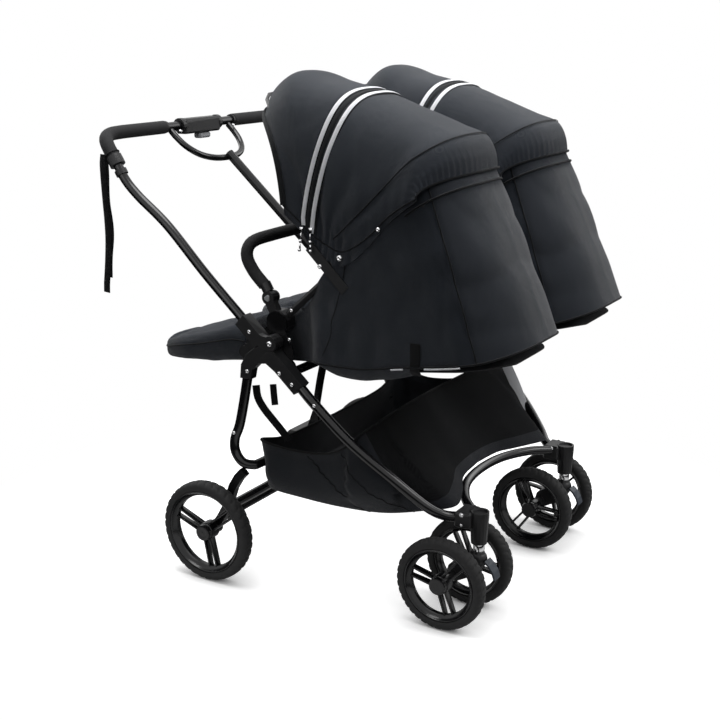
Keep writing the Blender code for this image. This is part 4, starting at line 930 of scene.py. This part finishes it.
for label, side in (("right", -1), ("left", 1)):
    x, body = side * SEAT_X, "seat_" + label
    grid = []
    for i in range(41):
        v = i / 40
        row = []
        for j in range(count + 1):
            f, t = floor_loop[j % count], top_loop[j % count]
            k = j if j <= count // 2 else count - j
            p = f.lerp(t, v)
            corner = (k - corner_at) / 20
            bulge = math.sin(math.pi * v)
            away = Vector((p.x, p.y + 0.38, 0)).normalized()
            if p.y > -0.25:
                away = Vector((0, 0, 0))
            seam = max(0.0, 1 - abs(k - corner_at) / 1.6) * 0.0016
            swell = bulge * (0.0020 if corner < 0 else 0.0035)
            p = p + away * (swell + tub_wrinkle(p, v, corner) * (0.25 + bulge) - seam)
            p.x = max(-0.1535, min(0.1535, p.x))
            row.append(p + Vector((x, REAR_AXLE, 0)))
        grid.append(row)
    faces = ring_faces(41, count, capped=False)
    looks = [int(min(j, count - j - 1) >= corner_at) for i in range(40) for j in range(count)]
    points = [p for row in grid for p in row[:-1]]

    # the floor bag hangs below the seam
    rings = []
    y_mid = -0.40 + REAR_AXLE
    for step in range(1, 13):
        u = step / 12
        shrink = 1 - 0.999 * u ** 1.5 if step < 12 else 0.02
        ring = []
        for p in grid[0][:-1]:
            q = Vector((x + (p.x - x) * shrink, y_mid + (p.y - y_mid) * shrink, p.z))
            y = q.y - REAR_AXLE
            sag = 0.026 * max(0.0, 1 - ((y + 0.375) / 0.135) ** 2) + 0.006 * max(0.0, 1 - ((y + 0.56) / 0.16) ** 2)
            sag *= min(1.0, u * 3.2) if y <= -0.25 else 0.0
            plane = 0.5135 + 0.135 * max(0.0, -0.30 - y) + max(0.0, -0.46 - y) * 0.08
            base = p.z + (plane - p.z) * min(1.0, u * 2)
            q.z = base - sag + noise.noise(q * 20) * 0.002 * min(1, u * 4) * (1 if y < -0.25 else 0)
            ring.append(q)
        rings.append(ring)
    close_floor(points, faces, looks, rings)
    tub = sewn_bag("tub_cloth_" + label, points, faces, looks, x, 0.003, body, (twill, head_cloth),
                   ["seat_tub_" + label])

    # piping along the corner seams, the base seam and the head end
    for end, name in ((1, "left"), (-1, "right")):
        j = corner_at if end == 1 else count - corner_at
        line = [grid[i][j] - TO_ROW + Vector((end * 0.0004, 0, 0)) for i in range(41)]
        piping("corner_piping_%s_%s" % (name, label), line, 0.0014, body, dark_twill)
    rim = [p - TO_ROW for p in grid[0]]
    piping("base_piping_" + label, rim[26:count - 25], 0.0022, body, dark_twill)
    for end, name in ((1, "left"), (-1, "right")):
        half_rim = rim[:count // 2] if end == 1 else rim[count - 1:count // 2:-1]
        for n, (low_y, high_y) in enumerate(((-0.487, -0.440), (-0.596, -0.513))):
            line = [p + Vector((end * 0.0016, 0, -0.0030)) for p in half_rim if low_y < p.y < high_y]
            piping("base_trim_%s_%d_%s" % (name, n, label), line, 0.0019, body, silver_tape)

    # the pocket seam on each side panel, and a wide dark band of webbing cloth down each side panel to the floor:
    # painted shade, standing in for a band of shadow there
    for end, name in ((1, "left"), (-1, "right")):
        columns_here = [j for j in range(count) if (j < count // 2) == (end == 1)]

        def at_side(y, z):
            return min((grid[i][j] for i in range(41) for j in columns_here),
                       key=lambda p: (p.y - REAR_AXLE - y) ** 2 + (p.z - z) ** 2)
        # a dark band in webbing cloth: painted shade where a band of shadow falls on the side panel
        web = [(at_side(-0.500, z).x + end * 0.0012, -0.500, z) for z in (0.600, 0.590, 0.580, 0.570, 0.560)]
        web += [(x + end * 0.1500, -0.498, 0.545), (x + end * 0.130, -0.492, 0.530)]
        band("shadow_band_webbing_%s_%s" % (name, label), smooth_route(web, 0.01), (0, 1, 0), 0.021, 0.0014, body, webbing)
        stitch = [at_side(-0.295 - 0.05 * k / 8, 0.545 + 0.20 * k / 8) for k in range(9)]
        stitch = [Vector((x + end * 0.1533, p.y - REAR_AXLE, p.z)) for p in stitch]
        bent_tube("pocket_seam_%s_%s" % (name, label), stitch, 0.0009, body, dark_twill, around=2)

    # zip band round the head end under the hood's hem
    ring = []
    for j in range(9 * STRETCH, count - 9 * STRETCH + 1):
        p = grid[37][j]
        away = Vector((p.x - x, p.y - REAR_AXLE + 0.38, 0)).normalized()
        ring.append(p - TO_ROW + away * 0.0022)
    piping("head_zip_" + label, ring, 0.0024, body, dark_twill)

    # the lining tray and the quilted mattress inside
    pad = []
    for i in range(49):
        u = i / 48
        y = -0.135 - 0.535 * u
        z = 0.521 + 0.03 * max(0.0, (u - 0.3)) + 0.045 * max(0.0, u - 0.45)
        half = 0.108 if y > -0.24 else 0.108 + 0.034 * min(1, (-0.24 - y) / 0.05)
        half *= math.sqrt(max(0.02, 1 - max(0.0, (u - 0.82) / 0.18) ** 2 * 0.75))
        row = []
        for j in range(33):
            s = -1 + 2 * j / 32
            puff = 0.020 * (1 - abs(s) ** 6) * (1 - max(0.0, abs(2 * u - 1)) ** 10)
            quilt = 0.0035 * (abs(math.sin(math.pi * (u * 9))) ** 0.5 - 1) * (1 - abs(s) ** 8)
            row.append(Vector((x + s * half, y + REAR_AXLE, z + puff + quilt)))
        pad.append(row)
    mattress = sheet_mesh("mattress_" + label, pad, body, lining, 0.004)
    shoulder = ((0.045, -0.60, 0.600), (0.043, -0.52, 0.586), (0.040, -0.44, 0.571), (0.028, -0.37, 0.562))
    waist = ((0.128, -0.33, 0.548), (0.08, -0.335, 0.553), (0.022, -0.35, 0.560))
    crotch = ((0, -0.25, 0.543), (0, -0.30, 0.552), (0, -0.345, 0.560))
    for name, points, turn, wide, flat in (
            ("left_shoulder", shoulder, 1, 0.030, (1, 0, 0)), ("right_shoulder", shoulder, -1, 0.030, (1, 0, 0)),
            ("left_waist", waist, 1, 0.024, (0, 1, 0)), ("right_waist", waist, -1, 0.024, (0, 1, 0)),
            ("crotch", crotch, 1, 0.026, (1, 0, 0))):
        route = smooth_route([(turn * px + x, py, pz) for px, py, pz in points], 0.012)
        band("harness_%s_%s" % (name, label), route, flat, wide, 0.0025, body, webbing)
    buckle = cylinder(6, 0.026, 0.010, (x, -0.358 + REAR_AXLE, 0.566))
    inset_end(buckle, (0, 0, 1), ((0.006, 0.003), (0.004, -0.002)))
    rounded(buckle, 0.0015)
    settle(buckle, "harness_buckle_" + label, body, plastic, 40)

# ---------------------------------------------------------------- leg rests
# A foam pad in a sewn cover: crowned, with rounded sides, a raised roll round its edge and channels across its top.


def pad_half(y):
    """Half the leg rest's width at a distance behind the axle: straight sides and a round end."""
    return 0.118 * max(0.04, 1 - max(0.0, (y - 0.050) / 0.1508) ** 2.3) ** (1 / 2.3)


for label, side in (("right", -1), ("left", 1)):
    x, body = side * SEAT_X, "leg_rest_body_" + label
    length = [(-0.074, 0.492, 0.570), (-0.062, 0.483, 0.580), (-0.035, 0.479, 0.580), (-0.010, 0.475, 0.573),
              (0.050, 0.468, 0.553), (0.110, 0.463, 0.534), (0.150, 0.458, 0.519), (0.180, 0.456, 0.505),
              (0.194, 0.460, 0.496), (0.1995, 0.469, 0.486)]
    rows = [tuple(p) for p in smooth_route(length, 0.004)]
    around = 64
    points = []
    for i, (y, low, high) in enumerate(rows):
        u = i / (len(rows) - 1)
        end = min(u, 1 - u)
        half = pad_half(y)
        mid, thick = (low + high) / 2, (high - low) / 2 * (1 - 0.35 * max(0.0, 1 - end / 0.05) ** 2)
        for j in range(around):
            a = 2 * math.pi * j / around
            cx, sz = math.cos(a), math.sin(a)
            px = math.copysign(abs(cx) ** 0.50, cx)
            pz = math.copysign(abs(sz) ** 0.66, sz)
            dent = 0.0
            if sz > 0 and abs(px) < 0.93 and 0.04 < u < 0.90:
                inner = min(1.0, (0.93 - abs(px)) / 0.14) * min(1.0, (min(u - 0.04, 0.90 - u)) / 0.06)
                dent = 0.0065 * inner + 0.0045 * inner * (1 - abs(math.sin(math.pi * u * 3.5)) ** 0.4)
            q = Vector((x + px * half, y + REAR_AXLE, mid + pz * thick - dent))
            q += Vector((px * 0.5, 0, pz)) * (noise.noise(q * 22) * 0.0026 + noise.noise(q * 55) * 0.0008)
            points.append(q)
    mesh = bpy.data.meshes.new("leg_pad")
    mesh.from_pydata(points, [], ring_faces(len(rows), around))
    pad = placed("leg_pad", mesh)
    face_out()
    settle(pad, "leg_pad_" + label, body, twill, 75, ["leg_rest_" + label])
    ring = [Vector((pad_half(y), y, (low + high) / 2 + (high - low) * 0.08)) for y, low, high in rows[1:-1]]
    loop = [Vector((x + p.x, p.y, p.z)) for p in ring] + [Vector((x - p.x, p.y, p.z)) for p in reversed(ring)]
    piping("leg_piping_" + label, loop + loop[:1], 0.0018, body, dark_twill)
    for end in (-1, 1):
        boss = cylinder(40, 0.0155, 0.014, (x + end * 0.1192, -0.083 + REAR_AXLE, 0.521), across=True)
        inset_end(boss, (end, 0, 0), ((0.003, -0.0015), (0.004, 0.0012)))
        settle(boss, "leg_boss_%s_%s" % (label, "left" if end == 1 else "right"), body, plastic, 40)

# ---------------------------------------------------------------- basket
# A tray of coated cloth hangs from the rear cross tube and the side tubes, with a panel of black mesh that climbs
# between the side tubes in front. Its top is hemmed, and darts gather its corners.

basket_cloth = woven("basket_cloth", (0.011, 0.0125, 0.016), (0.020, 0.022, 0.027), 460, 0.5, 8, 0.30, 0.25)
mesh_cloth = woven("basket_mesh", (0.0025, 0.0027, 0.0032), (0.010, 0.0105, 0.012), 300, 1.0, 7, 0.20, 0.06)
basket_floor = [(0.0, -0.113, 0.217), (0.20, -0.113, 0.216), (0.285, -0.118, 0.215), (0.298, -0.22, 0.213),
                (0.297, -0.32, 0.213), (0.291, -0.41, 0.219), (0.272, -0.490, 0.234), (0.236, -0.543, 0.243),
                (0.165, -0.523, 0.2465), (0.09, -0.489, 0.2485), (0.0, -0.479, 0.2495)]
basket_top = [(0.0, -0.1082, 0.300), (0.20, -0.1082, 0.305), (0.304, -0.112, 0.328), (0.310, -0.20, 0.321),
              (0.318, -0.290, 0.334), (0.327, -0.345, 0.365), (0.322, -0.372, 0.392), (0.270, -0.374, 0.397),
              (0.20, -0.368, 0.397), (0.10, -0.362, 0.396), (0.0, -0.360, 0.396)]
low_loop, high_loop = (round_trip(smooth_route(line, 0, 8)) for line in (basket_floor, basket_top))
count = len(low_loop)
points = []
for i in range(25):
    v = i / 24
    for j in range(count):
        f, t = low_loop[j], high_loop[j]
        p = f.lerp(t, v)
        sideways = abs(p.x) > 0.25 and p.y < -0.125
        front = p.y < -0.34 and abs(p.x) < 0.29
        away = Vector((p.x, p.y + 0.28, 0)).normalized()
        belly = math.sin(math.pi * min(1.0, v * 1.15))
        push = 0.010 * belly if sideways and not front else (-0.004 * belly if front else 0.0)
        if p.y > -0.125:
            push = 0.0
            away = Vector((0, 0, 0))
        ripple = noise.noise(p * 9) * 0.006 * belly + math.sin(p.y * 70 + p.z * 40) * 0.0012 * belly
        if front or p.y < -0.34:
            p.x += math.copysign(0.020 * math.sin(math.pi * v) * max(0.0, min(1.0, (abs(p.x) - 0.17) / 0.10)), p.x)
        p = p + away * (push + ripple) + Vector((0, 0, -0.008 * math.sin(math.pi * v) if sideways and v < 0.99 else 0))
        points.append(p + TO_ROW)
faces = ring_faces(25, count, capped=False)
looks = [int(min(j, count - j - 1) >= 6 * 8 + 2 and i >= 3) for i in range(24) for j in range(count)]
rings = []
for step in range(1, 11):
    u = step / 10
    ring = []
    for p in points[:count]:
        q = Vector((p.x * (1 - 0.98 * u), p.y * (1 - 0.98 * u) + (-0.28 + REAR_AXLE) * 0.98 * u, p.z))
        q.z = p.z + (0.2145 - p.z) * min(1, u * 1.5) - 0.004 * math.sin(math.pi * u) + noise.noise(q * 12) * 0.0015
        q.z = max(q.z, 0.2095)
        ring.append(q)
    rings.append(ring)
close_floor(points, faces, looks, rings)
tray = sewn_bag("basket_cloth", points, faces, looks, 0, 0.002, "chassis", (basket_cloth, mesh_cloth),
                ["basket"])
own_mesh(tray)
hem = [points[24 * count + j] - TO_ROW for j in range(count)]
hem_tube = piping("basket_hem", hem + hem[:1], 0.0028, "chassis", webbing)
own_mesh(hem_tube)
for end, name in ((1, "left"), (-1, "right")):
    for n, j0 in enumerate((3 * 8 + 3, 4 * 8 + 4)):
        seam = []
        for i in range(0, 24):
            j = j0 + int((24 - i) * 0.42)
            j = j if end == 1 else (count - j) % count
            p = points[i * count + j] - TO_ROW
            seam.append(p + Vector((end * 0.0006, 0, 0)))
        dart = piping("basket_seam_%s_%d" % (name, n), seam, 0.0011, "chassis", dark_twill)
        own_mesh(dart)

flap_line = smooth_route([(0.3060, -0.402, 0.393), (0.3050, -0.432, 0.338), (0.2980, -0.460, 0.283)], 0.01)
flap = band("reflective_flap_left", flap_line, (0.55, -0.83, 0), 0.024, 0.0014, "chassis", silver_tape)
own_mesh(flap)
